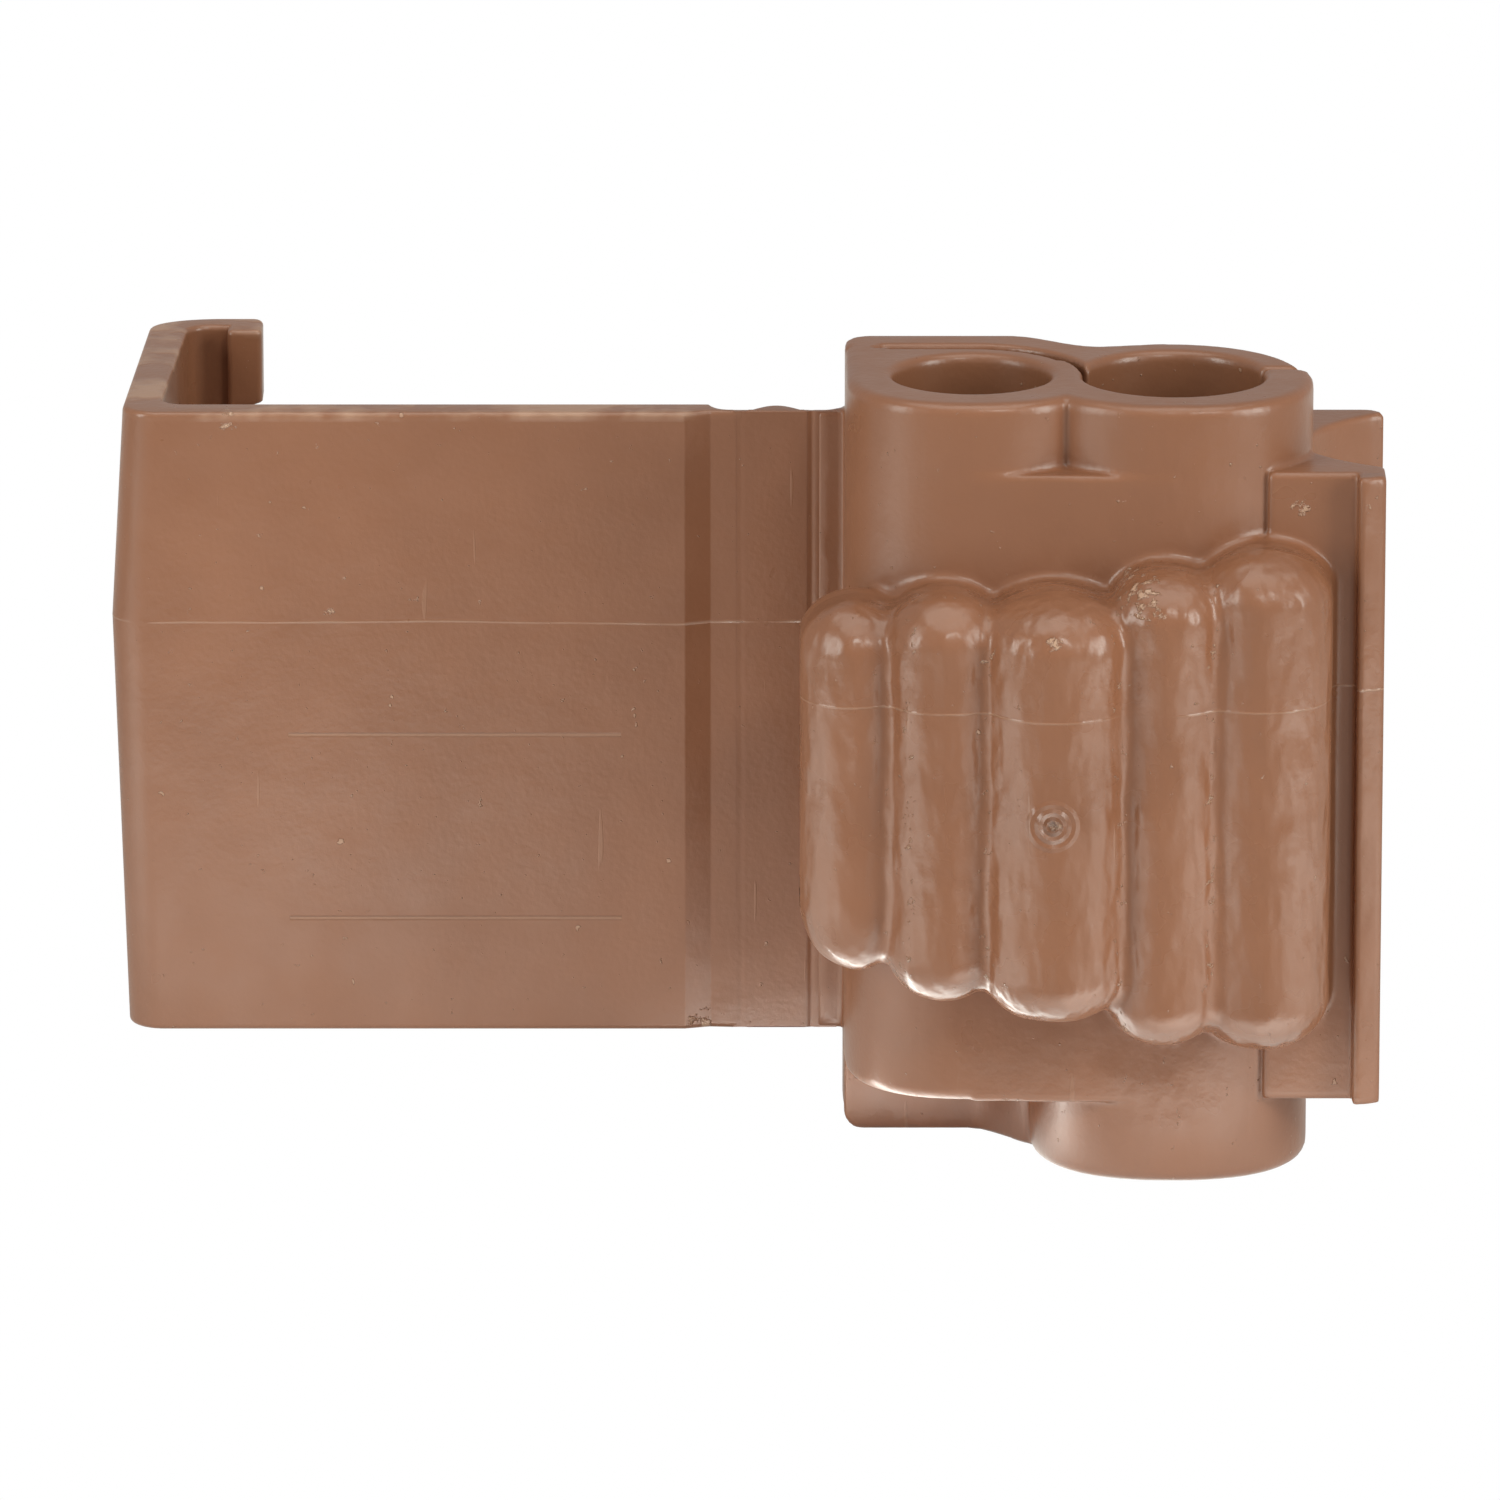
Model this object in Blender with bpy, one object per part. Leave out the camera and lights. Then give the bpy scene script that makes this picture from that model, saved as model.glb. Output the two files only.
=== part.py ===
"""T-tap wire connector, open and unused.

One polypropylene moulding: a housing with a blind tap port and a through run port, and a cover that folds
over behind it on two living hinges and latches round its right side. A U-shaped contact of tin-plated brass
stands in a well at the back until it is pressed home across both wires.

X runs from the cover to the latch side, -Y is the front with the barrel ribs, and Z runs along the wires.
The connector stands on the end of its run port. Inside the script, X starts at the fold next to the housing,
Y at the outer face of the hinge web, and Z at the foot. An empty moves all of it to the centre of the foot.
"""

import math

import bmesh
import bpy
from mathutils import Matrix, Vector

MM = 0.001
SIDES = 36

# Wire ports
RUN_BORE = 5.6 * MM
TAP_BORE = 4.86 * MM
TAP_FROM_FOLD = 4.9 * MM
PORT_PITCH = 6.2 * MM
PORT_DEPTH = 4.0 * MM
TAP_SIDE_WALL = 1.45 * MM
TAP_FRONT_WALL = 1.6 * MM
TAP_BACK_WALL = 0.95 * MM
TAP_END_WALL = 1.4 * MM
RUN_SIDE_WALL = 1.5 * MM
RUN_FRONT_WALL = 1.5 * MM
RUN_BACK_WALL = 1.2 * MM
SQUARENESS = 2.35
ROUNDNESS = 2.0

# Heights above the foot
BLOCK_BOTTOM = 2.55 * MM
BLOCK_HEIGHT = 19.98 * MM
PORT_RIM = 2.2 * MM
RIM_ROUND = 0.2 * MM
PARTING_HEIGHT = 15.8 * MM

# Guard sheet behind the ports, and the plate under the tap port
SHEET_BACK = 1.0 * MM
SHEET_CORNER = 0.8 * MM
SLIT = 0.3 * MM
SLIT_FRONT = 0.6 * MM
SLIT_ROOT = 1.1 * MM
ARM_SIDE_WALL = 1.25 * MM
PLATE_FRONT = 2.6 * MM
PLATE_CORNER = 0.6 * MM

# Side entry and latch lip
ENTRY_DEPTH = 3.3 * MM
ENTRY_GAP = 0.24 * MM
JAW_FRONT = 7.8 * MM
JAW_BACK = 0.3 * MM
LIP_WIDTH = 0.85 * MM
LIP_HEIGHT = 0.7 * MM
LIP_REACH = 2.1 * MM
BACK_JAW_REACH = 2.35 * MM
BACK_JAW_CORNER = 0.65 * MM

# Barrel ribs: width, radius in front, crest in front of the hinge face, lowest and highest point, and how
# high the round part of the lower end is
RIB_OVERHANG = 1.45 * MM
RIB_END = 1.5 * MM
RIBS = (
    (3.0 * MM, 1.75 * MM, 10.3 * MM, 7.0 * MM, 18.75 * MM, 2.5 * MM),
    (2.95 * MM, 1.8 * MM, 11.2 * MM, 6.3 * MM, 19.2 * MM, 1.7 * MM),
    (3.8 * MM, 2.35 * MM, 12.1 * MM, 5.75 * MM, 19.3 * MM, 1.7 * MM),
    (2.95 * MM, 1.8 * MM, 11.3 * MM, 4.9 * MM, 19.95 * MM, 1.6 * MM),
    (3.6 * MM, 2.1 * MM, 11.0 * MM, 4.6 * MM, 20.45 * MM, 1.7 * MM),
)

# Living hinges and web
WEB_LENGTH = 2.2 * MM
FILM = 0.2 * MM
FOLD_GAP = 0.3 * MM
WEB_HUMP = 0.72 * MM
TAB_HUMP = 1.05 * MM
WEB_TURN = math.radians(93)

# Cover and latch hook
PANEL_PROUD = 0.25 * MM
PANEL_INNER = 0.95 * MM
BAND_START = 0.95 * MM
BAND_WIDTH = 0.8 * MM
HOOK_WALL = 1.2 * MM
HOOK_LEAN = math.radians(2.4)
HOOK_DRAFT = 0.4 * MM
HOOK_CORNER = 1.1 * MM
HOOK_BACK_CORNER = 1.3 * MM
HOOK_BACK_SPREAD = 2.3 * MM
HOOK_INNER_CORNER = 0.75 * MM
HOOK_TIP_ROUND = 0.35 * MM
HOOK_RETURN = 1.0 * MM
HOOK_LIP = 0.7 * MM
HOOK_LIP_WIDTH = 1.1 * MM
LATCH_SIDE_CLEARANCE = 0.22 * MM
LATCH_FRONT_CLEARANCE = 0.4 * MM
RIB_CLEARANCE = 0.25 * MM

# Contact
CONTACT_SHEET = 0.85 * MM
CONTACT_PITCH = 4.8 * MM
CONTACT_HEIGHT = 12.4 * MM
CONTACT_LEG = 9.0 * MM
CONTACT_END = 3.0 * MM
CONTACT_TRAVEL = 6.0 * MM
CONTACT_BACK = 0.9 * MM
CONTACT_BEND = 1.0 * MM
CONTACT_CLEARANCE = 0.25 * MM
TAP_SLOT = 1.1 * MM
RUN_SLOT = 2.1 * MM
SLOT_MOUTH = 1.05 * MM
SLOT_MOUTH_DEPTH = 1.2 * MM
SLOT_ROOT = 1.9 * MM

# Places that follow from the sizes above
BLOCK_TOP = BLOCK_BOTTOM + BLOCK_HEIGHT
TUBE_TOP = BLOCK_TOP + PORT_RIM
TAP_X = TAP_FROM_FOLD
RUN_X = TAP_X + PORT_PITCH
TAP_HALF = TAP_BORE / 2 + TAP_SIDE_WALL
TAP_FRONT = TAP_BORE / 2 + TAP_FRONT_WALL
TAP_BACK = TAP_BORE / 2 + TAP_BACK_WALL
RUN_HALF = RUN_BORE / 2 + RUN_SIDE_WALL
RUN_FRONT = RUN_BORE / 2 + RUN_FRONT_WALL
RUN_BACK = RUN_BORE / 2 + RUN_BACK_WALL
ARM_HALF = RUN_BORE / 2 + ARM_SIDE_WALL
LEFT_X = TAP_X - TAP_HALF
RIGHT_X = RUN_X + RUN_HALF
LIP_RIGHT = RIGHT_X + LIP_REACH
LIP_LEFT = LIP_RIGHT - LIP_WIDTH
LIP_Y = -JAW_FRONT - LIP_HEIGHT
JAW_RIGHT = RIGHT_X + BACK_JAW_REACH
RIB_LEFT = LEFT_X - RIB_OVERHANG
RIB_RIGHT = RIB_LEFT + sum(rib[0] for rib in RIBS)
CONTACT_LEFT = TAP_X - CONTACT_END
CONTACT_RIGHT = RUN_X + CONTACT_END + (RUN_BORE - TAP_BORE) / 2
PASTE = 0.4 * MM


def collection(name):
    group = bpy.data.collections.new(name)
    bpy.context.scene.collection.children.link(group)
    return group


def plastic(name, colour, roughness):
    material = bpy.data.materials.new(name)
    material.use_nodes = True
    shader = material.node_tree.nodes["Principled BSDF"]
    shader.inputs["Base Color"].default_value = (*colour, 1)
    shader.inputs["Roughness"].default_value = roughness
    shader.inputs["Metallic"].default_value = 0
    return material


def metal(name, colour, roughness):
    material = plastic(name, colour, roughness)
    material.node_tree.nodes["Principled BSDF"].inputs["Metallic"].default_value = 1
    return material


def arc(centre, radius, start, end, steps):
    """Points on a circle, angles in degrees, both ends included."""
    angles = [math.radians(start + (end - start) * i / steps) for i in range(steps + 1)]
    return [(centre[0] + radius * math.cos(a), centre[1] + radius * math.sin(a)) for a in angles]


def bow(centre, half, depth, squareness, start, end, steps):
    """Points on a rounded square, half wide and depth deep; a squareness of 2 makes it an ellipse."""
    points = []
    for i in range(steps + 1):
        angle = math.radians(start + (end - start) * i / steps)
        c, s = math.cos(angle), math.sin(angle)
        x = centre[0] + half * math.copysign(abs(c) ** (2 / squareness), c)
        y = centre[1] + depth * math.copysign(abs(s) ** (2 / squareness), s)
        points.append((x, y))
    return points


def ease(start, end, steps):
    """An S-curve between two points, level at both ends."""
    points = []
    for i in range(steps + 1):
        t = i / steps
        rise = (1 - math.cos(math.pi * t)) / 2
        points.append((start[0] + (end[0] - start[0]) * t, start[1] + (end[1] - start[1]) * rise))
    return points


def sweep(start, middle, end, steps):
    """A curve from start to end that leans towards the middle point."""
    a, b, c = Vector(start), Vector(middle), Vector(end)
    curve = []
    for i in range(steps + 1):
        t = i / steps
        point = a * (1 - t) ** 2 + b * 2 * t * (1 - t) + c * t * t
        curve.append((point.x, point.y))
    return curve


def band(path, width):
    """The outline of a strip of even width along a path."""
    left, right = [], []
    for i, point in enumerate(path):
        before = Vector(path[max(i - 1, 0)])
        after = Vector(path[min(i + 1, len(path) - 1)])
        side = (after - before).normalized().orthogonal() * width / 2
        left.append(tuple(Vector(point) + side))
        right.append(tuple(Vector(point) - side))
    return left + right[::-1]


def keep(name, mesh, group, location=(0, 0, 0)):
    """A new object for the mesh, hung on the connector's empty."""
    item = bpy.data.objects.new(name, mesh)
    item.location = location
    group.objects.link(item)
    item.parent = base
    return item


def solid(name, outline, low, high, group=None, plane=None, edge=0):
    """A closed outline in X and Y, raised from low to high, its upper rim rounded by edge, turned by plane."""
    shape = bmesh.new()
    floor = [shape.verts.new((x, y, low)) for x, y in outline]
    roof = [shape.verts.new((x, y, high)) for x, y in outline]
    shape.faces.new(floor)
    shape.faces.new(roof)
    rim = []
    for i in range(len(outline)):
        j = (i + 1) % len(outline)
        shape.faces.new((floor[i], floor[j], roof[j], roof[i]))
        rim.append(shape.edges.get((roof[i], roof[j])))
    if edge:
        bmesh.ops.bevel(shape, geom=rim, offset=edge, segments=2, profile=0.5, affect="EDGES")
    if plane:
        shape.transform(plane)
    bmesh.ops.recalc_face_normals(shape, faces=shape.faces)
    mesh = bpy.data.meshes.new(name)
    shape.to_mesh(mesh)
    shape.free()
    return keep(name, mesh, group or tools)


def upright():
    """Turns a drawing in X and Y so that it lies in X and Z and is raised towards the front."""
    return Matrix(((1, 0, 0, 0), (0, 0, -1, 0), (0, 1, 0, 0), (0, 0, 0, 1)))


def end_on():
    """Turns a drawing in X and Y so that it lies in Y and Z and is raised along X."""
    return Matrix(((0, 0, 1, 0), (1, 0, 0, 0), (0, 1, 0, 0), (0, 0, 0, 1)))


def cylinder(name, centre, radius, low, high):
    shape = bmesh.new()
    place = Matrix.Translation((centre[0], centre[1], (low + high) / 2))
    bmesh.ops.create_cone(shape, cap_ends=True, segments=SIDES, radius1=radius, radius2=radius,
                          depth=high - low, matrix=place)
    mesh = bpy.data.meshes.new(name)
    shape.to_mesh(mesh)
    shape.free()
    return keep(name, mesh, tools)


def combine(target, operation, pieces):
    """Boolean modifiers on the target, one for each piece, which becomes a hidden tool."""
    for piece in pieces:
        step = target.modifiers.new(piece.name, "BOOLEAN")
        step.operation = operation
        step.object = piece
        piece.hide_render = True
        piece.display_type = "WIRE"


def barrel(number, left, rib):
    """A barrel rib: a ball pulled apart along Z to its height and along Y back into the housing."""
    width, radius, crest, low, high, low_end = rib
    root = PORT_DEPTH + RUN_BORE / 2
    shape = bmesh.new()
    bmesh.ops.create_uvsphere(shape, u_segments=20, v_segments=9, radius=1,
                              matrix=Matrix.Rotation(math.pi / 20, 4, "Z"))
    middle = left + width / 2
    if number == 0:
        middle = left + radius
    if number == len(RIBS) - 1:
        middle = left + width - radius
    widest = max(vert.co.x for vert in shape.verts)
    for vert in shape.verts:
        x, y, z = vert.co
        x, y = x / widest, y / widest
        height = high - RIB_END + z * RIB_END if z > 0 else low + low_end + z * low_end
        back = y * radius - (crest - radius) if y < 0 else -root
        vert.co = (middle + x * radius, back, height)
    mesh = bpy.data.meshes.new(f"rib_{number}")
    shape.to_mesh(mesh)
    shape.free()
    return keep(f"rib_{number}", mesh, tools)


def tap_tube():
    """The tap port's tube: rounded in front, round behind, and one with the guard sheet at its left."""
    centre = (TAP_X, -PORT_DEPTH)
    front = bow(centre, TAP_HALF, TAP_FRONT, SQUARENESS, 180, 360, 20)
    back = bow(centre, TAP_BACK, TAP_BACK, ROUNDNESS, 0, 90, 8)
    root = [(LEFT_X + SLIT_ROOT + SLIT, -SLIT_FRONT), (LEFT_X + SLIT_ROOT, 0), (LEFT_X, 0)]
    return solid("tap_tube", front + back + root, BLOCK_BOTTOM, TUBE_TOP, edge=RIM_ROUND)


def run_tube():
    """The run port's tube: a rounded square in front, and a rounder, narrower arm behind the side entry."""
    centre = (RUN_X, -PORT_DEPTH)
    front = bow(centre, RUN_HALF, RUN_FRONT, SQUARENESS, 180, 360, 20)
    side = [(RIGHT_X - RIM_ROUND / 2, -ENTRY_DEPTH)]
    back = bow(centre, ARM_HALF, RUN_BACK, ROUNDNESS, 10, 170, 16)
    return front + side + back


def guard_path():
    """The middle of the slit between the tap tube and the guard sheet, from its root to the run bore."""
    middle = (TAP_X, -PORT_DEPTH)
    reach = TAP_BACK + SLIT / 2
    turn = bow(middle, reach, -SLIT_FRONT + SLIT / 2 + PORT_DEPTH, ROUNDNESS, 90, 8, 10)
    return [(LEFT_X + SLIT_ROOT, -SLIT_FRONT + SLIT / 2)] + turn


def guard_sheet():
    """The flexible sheet behind both ports. It steps forwards behind the run port."""
    corner = arc((LEFT_X + SHEET_CORNER, SHEET_BACK - SHEET_CORNER), SHEET_CORNER, 180, 90, 5)
    step = ease((TAP_X + TAP_BORE / 4, SHEET_BACK), (RUN_X - RUN_HALF / 2, RUN_BACK - PORT_DEPTH - PASTE), 10)
    run = [(RUN_X, RUN_BACK - PORT_DEPTH), (RUN_X, RUN_BORE / 2 - PORT_DEPTH)]
    inside = guard_path()[::-1] + [(LEFT_X, -SLIT_FRONT + SLIT / 2)]
    return solid("guard_sheet", corner + step + run + inside, 0, TUBE_TOP, edge=RIM_ROUND)


def foot_plate():
    """The plate under the tap port's closed end, with one rounded corner."""
    right = RUN_X - RUN_HALF + PASTE
    corner = arc((LEFT_X + PLATE_CORNER, PLATE_CORNER), PLATE_CORNER, 180, 270, 6)
    outline = corner + [(right, 0), (right, BLOCK_BOTTOM + PASTE), (LEFT_X, BLOCK_BOTTOM + PASTE)]
    return solid("foot_plate", outline, 0, PLATE_FRONT, plane=upright())


def foot_blend():
    """The curve that leads from the foot plate's face round into the run port."""
    start = (TAP_X, -PLATE_FRONT)
    end = (RUN_X - RUN_HALF + PASTE, -PORT_DEPTH - PASTE)
    outline = ease(start, end, 8) + [(RUN_X - RUN_HALF + 2 * PASTE, -PLATE_FRONT + PASTE),
                                     (TAP_X, -PLATE_FRONT + PASTE)]
    return solid("foot_blend", outline, 0, BLOCK_BOTTOM + PASTE)


def front_web():
    """The flat face that fills the groove between the two tubes."""
    outline = [(TAP_X, -PORT_DEPTH), (TAP_X, -PORT_DEPTH - TAP_FRONT), (RUN_X, -PORT_DEPTH - RUN_FRONT),
               (RUN_X, -PORT_DEPTH)]
    return solid("front_web", outline, BLOCK_BOTTOM, BLOCK_TOP)


def front_jaw():
    """The flange in front of the side entry, with the latch lip on its edge."""
    radius = LIP_WIDTH / 2
    lip = arc((LIP_LEFT + radius, LIP_Y + radius), radius, 180, 360, 8)
    heel = (RIGHT_X - RUN_SIDE_WALL / 2, -PORT_DEPTH - RUN_BORE / 4)
    throat = (RIGHT_X, -PORT_DEPTH - RUN_BORE / 5)
    tip = (LIP_RIGHT - LIP_WIDTH / 2, -JAW_FRONT + LIP_WIDTH * 1.3)
    slope = sweep(throat, (RIGHT_X + LIP_REACH / 3, -JAW_FRONT + 2 * LIP_WIDTH), tip, 6)
    outline = [(RUN_X + RUN_BORE / 2, -JAW_FRONT), (LIP_LEFT, -JAW_FRONT)] + lip
    outline += [(LIP_RIGHT, tip[1] - LIP_WIDTH / 3)] + slope[::-1] + [heel]
    return solid("front_jaw", outline, BLOCK_BOTTOM, BLOCK_TOP)


def back_jaw():
    """The end of the guard sheet behind the side entry, flared to lead the run wire in."""
    corner = arc((JAW_RIGHT - BACK_JAW_CORNER, JAW_BACK - BACK_JAW_CORNER), BACK_JAW_CORNER, 0, 90, 5)
    throat = (RIGHT_X, -ENTRY_DEPTH + ENTRY_GAP)
    tip = (JAW_RIGHT - BACK_JAW_CORNER / 2, JAW_BACK - BACK_JAW_CORNER - ENTRY_GAP / 2)
    slope = sweep(throat, (RIGHT_X + PASTE, -ENTRY_DEPTH / 2), tip, 6)
    start = (RIGHT_X - RUN_SIDE_WALL / 2, throat[1])
    back = [(RIGHT_X - PASTE, JAW_BACK), (RUN_X + RUN_HALF / 3, RUN_BACK - PORT_DEPTH - PASTE / 8)]
    outline = [start] + slope + corner + back
    return solid("back_jaw", outline, BLOCK_BOTTOM, BLOCK_TOP)


def hinge_tab():
    """The housing's side of the hinge: a film that swells into the guard sheet."""
    half = FOLD_GAP / 2
    swell = sweep((half + FILM, FILM), (LEFT_X - FILM, FILM), (LEFT_X + FILM / 2, TAB_HUMP), 6)
    outline = [(half, 0)] + swell + [(LEFT_X + 3 * FILM, SHEET_BACK - FILM / 4), (LEFT_X + 3 * FILM, 0)]
    return solid("hinge_tab", outline, BLOCK_BOTTOM, BLOCK_TOP)


def contact_profile():
    """The contact's U seen from its end, drawn in Y and Z, with the middle of its back face at 0."""
    outer = CONTACT_PITCH / 2 + CONTACT_SHEET / 2
    inner = CONTACT_PITCH / 2 - CONTACT_SHEET / 2
    front = -CONTACT_LEG
    root = -CONTACT_SHEET
    bend = CONTACT_BEND
    inside = bend - CONTACT_SHEET
    outline = [(front, outer)] + arc((-bend, outer - bend), bend, 90, 0, 6)
    outline += arc((-bend, -outer + bend), bend, 0, -90, 6) + [(front, -outer), (front, -inner)]
    outline += arc((root - inside, -inner + inside), inside, -90, 0, 4)
    outline += arc((root - inside, inner - inside), inside, 0, 90, 4) + [(front, inner)]
    return outline


def contact_well():
    """The room for the pressed contact, open at the back."""
    front = -CONTACT_LEG - CONTACT_CLEARANCE
    back = SHEET_BACK + PASTE - CONTACT_BACK
    edge = CONTACT_PITCH / 2 + CONTACT_SHEET / 2 + CONTACT_CLEARANCE
    inner = CONTACT_PITCH / 2 - CONTACT_SHEET / 2 - CONTACT_CLEARANCE
    floor = -CONTACT_SHEET - CONTACT_CLEARANCE
    well = [(front, edge), (back, edge), (back, -edge), (front, -edge), (front, -inner), (floor, -inner),
            (floor, inner), (front, inner)]
    place = Matrix.Translation((0, CONTACT_BACK, CONTACT_HEIGHT)) @ end_on()
    return solid("contact_well", well, CONTACT_LEFT - CONTACT_CLEARANCE, CONTACT_RIGHT + CONTACT_CLEARANCE,
                 plane=place)


def make_housing():
    past = PASTE
    housing = solid("housing", run_tube(), 0, TUBE_TOP, parts, edge=RIM_ROUND)
    ribs = []
    left = RIB_LEFT
    for number, rib in enumerate(RIBS):
        ribs.append(barrel(number, left, rib))
        left += rib[0]
    grown = [tap_tube(), guard_sheet(), foot_plate(), foot_blend(), front_web(), front_jaw(), back_jaw(),
             hinge_tab()]
    combine(housing, "UNION", grown + ribs)
    tap = cylinder("tap_bore", (TAP_X, -PORT_DEPTH), TAP_BORE / 2, BLOCK_BOTTOM + TAP_END_WALL,
                   TUBE_TOP + past)
    run = cylinder("run_bore", (RUN_X, -PORT_DEPTH), RUN_BORE / 2, -past, TUBE_TOP + past)
    slit = solid("guard_slit", band(guard_path(), SLIT), -past, TUBE_TOP + past)
    entry_path = [(RUN_X + RUN_BORE / 3, -ENTRY_DEPTH), (RIGHT_X + ENTRY_GAP, -ENTRY_DEPTH)]
    entry = solid("entry_slit", band(entry_path, ENTRY_GAP), -past, TUBE_TOP + past)
    combine(housing, "DIFFERENCE", [tap, run, slit, entry, contact_well()])
    return housing


def make_web():
    """The strip between the two folds, a lens in section, thin at both films."""
    half = FOLD_GAP / 2
    near, far = -half - FILM, -WEB_LENGTH + half + FILM
    steps = 8
    hump = []
    for i in range(steps + 1):
        t = i / steps
        hump.append((near + (far - near) * t, FILM + (WEB_HUMP - FILM) * math.sin(math.pi * t)))
    outline = [(-half, 0)] + hump + [(-WEB_LENGTH + half, 0)]
    return solid("hinge_web", outline, BLOCK_BOTTOM, BLOCK_TOP, parts)


def closed_to_cover(x, y):
    """A point of the closed latch, given on the housing, as a point of the open cover from its own fold."""
    shift = -WEB_LENGTH * math.cos(WEB_TURN)
    lift = WEB_LENGTH * math.sin(WEB_TURN)
    return shift - x, lift - y


def hook_tip():
    """Where the latch hook's tip ends, from the cover's fold."""
    return closed_to_cover(LIP_LEFT - LATCH_SIDE_CLEARANCE, 0)[0] + HOOK_LIP_WIDTH


def cover_outline(draft):
    """The cover's section, from its fold. The side wall's outer face moves out by the draft."""
    half = FOLD_GAP / 2
    wall_tip, inner_back = closed_to_cover(LIP_RIGHT + LATCH_SIDE_CLEARANCE, LIP_Y - LATCH_FRONT_CLEARANCE)
    lean = math.tan(HOOK_LEAN)
    wall_root = wall_tip - lean * (inner_back - PANEL_INNER)
    outer_root = wall_root - HOOK_WALL - draft
    outer_back = inner_back + HOOK_RETURN
    outer_tip = wall_tip - HOOK_WALL - draft
    far, spread, near, blunt = HOOK_BACK_CORNER, HOOK_BACK_SPREAD, HOOK_INNER_CORNER, HOOK_TIP_ROUND
    tip_x = hook_tip()
    lip_left = tip_x - HOOK_LIP_WIDTH
    outline = [(-half, 0), (-BAND_START, 0), (-BAND_START - BAND_WIDTH, -PANEL_PROUD)]
    outline += arc((outer_root + HOOK_CORNER, -PANEL_PROUD + HOOK_CORNER), HOOK_CORNER, 270, 180, 6)
    outline += bow((outer_tip + spread, outer_back - far), spread, far, ROUNDNESS, 180, 90, 6)
    outline += arc((tip_x - blunt, outer_back - blunt), blunt, 90, 0, 3) + [(tip_x, inner_back - HOOK_LIP)]
    outline += [(lip_left, inner_back - HOOK_LIP), (lip_left, inner_back)]
    outline += arc((wall_tip + near, inner_back - near), near, 90, 180, 4)
    outline += arc((wall_root + near, PANEL_INNER + near), near, 180, 270, 4)
    outline += [(-BAND_START - FILM, PANEL_INNER)]
    outline += sweep((-BAND_START, PANEL_INNER - FILM / 8), (-BAND_START + FILM, FILM), (-half - FILM, FILM), 4)
    return outline


def make_cover():
    """The cover: three stations of one section along Z, widest at the parting line."""
    stations = [(BLOCK_BOTTOM, 0), (PARTING_HEIGHT, HOOK_DRAFT), (BLOCK_TOP, 0)]
    shape = bmesh.new()
    rings = []
    for height, draft in stations:
        rings.append([shape.verts.new((x, y, height)) for x, y in cover_outline(draft)])
    for lower, upper in zip(rings, rings[1:]):
        for i in range(len(lower)):
            j = (i + 1) % len(lower)
            shape.faces.new((lower[i], upper[i], upper[j], lower[j]))
    shape.faces.new(rings[0])
    shape.faces.new(rings[-1][::-1])
    bmesh.ops.recalc_face_normals(shape, faces=shape.faces)
    mesh = bpy.data.meshes.new("cover")
    shape.to_mesh(mesh)
    shape.free()
    cover = keep("cover", mesh, parts, (-WEB_LENGTH, 0, 0))
    width, radius, crest, low, high, low_end = RIBS[-1]
    relief_x, front = closed_to_cover(RIB_RIGHT + RIB_CLEARANCE, LIP_Y - LATCH_FRONT_CLEARANCE)
    past = hook_tip() + PASTE
    outline = [(relief_x, front - HOOK_LIP - PASTE), (relief_x, front + HOOK_RETURN + PASTE),
               (past, front + HOOK_RETURN + PASTE), (past, front - HOOK_LIP - PASTE)]
    off = LIP_LEFT - LATCH_SIDE_CLEARANCE - HOOK_LIP_WIDTH - (RIB_RIGHT - radius)
    fall = 1 - math.sqrt(max(1 - (off / radius) ** 2, 0))
    relief = solid("rib_relief", outline, low + low_end * fall - RIB_CLEARANCE,
                   high - RIB_END * fall + RIB_CLEARANCE)
    relief.location = cover.location
    combine(cover, "DIFFERENCE", [relief])
    return cover


def contact_slot(name, middle, width):
    """A wire slot in both legs, with a V mouth at the tips."""
    tip = -CONTACT_LEG
    mouth = width / 2 + SLOT_MOUTH
    outline = [(middle - mouth, tip - PASTE), (middle + mouth, tip - PASTE), (middle + mouth, tip),
               (middle + width / 2, tip + SLOT_MOUTH_DEPTH)]
    outline += arc((middle, -SLOT_ROOT - width / 2), width / 2, 0, 180, 8)
    outline += [(middle - width / 2, tip + SLOT_MOUTH_DEPTH), (middle - mouth, tip)]
    reach = CONTACT_PITCH / 2 + CONTACT_SHEET
    return solid(name, outline, -reach, reach)


def make_contact():
    """The U-contact, drawn round the middle of its back face and then lifted out of its well."""
    contact = solid("u_contact", contact_profile(), CONTACT_LEFT, CONTACT_RIGHT, parts, plane=end_on())
    contact.location = (0, CONTACT_BACK + CONTACT_TRAVEL, CONTACT_HEIGHT)
    slots = [contact_slot("tap_slot", TAP_X, TAP_SLOT), contact_slot("run_slot", RUN_X, RUN_SLOT)]
    for slot in slots:
        slot.location = contact.location
    combine(contact, "DIFFERENCE", slots)
    return contact


def carry(child, parent):
    """Hangs one piece on another and leaves it where it is."""
    child.parent = parent
    child.location = child.location - parent.location


for item in list(bpy.data.objects):
    bpy.data.objects.remove(item)

parts = collection("t_tap_connector")
tools = collection("cutting_tools")

left_end = cover_outline(HOOK_DRAFT)
lowest_x = min(x for x, y in left_end) - WEB_LENGTH
back_end = max(y for x, y in left_end)
front_end = max(rib[2] for rib in RIBS)

base = bpy.data.objects.new("connector_base", None)
base.location = (-(lowest_x + JAW_RIGHT) / 2, (front_end - back_end) / 2, 0)
parts.objects.link(base)

brown = plastic("brown_polypropylene", (0.27, 0.13, 0.075), 0.45)
tinned = metal("tinned_brass", (0.75, 0.73, 0.68), 0.35)

housing = make_housing()
web = make_web()
cover = make_cover()
contact = make_contact()
carry(cover, web)

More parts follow.
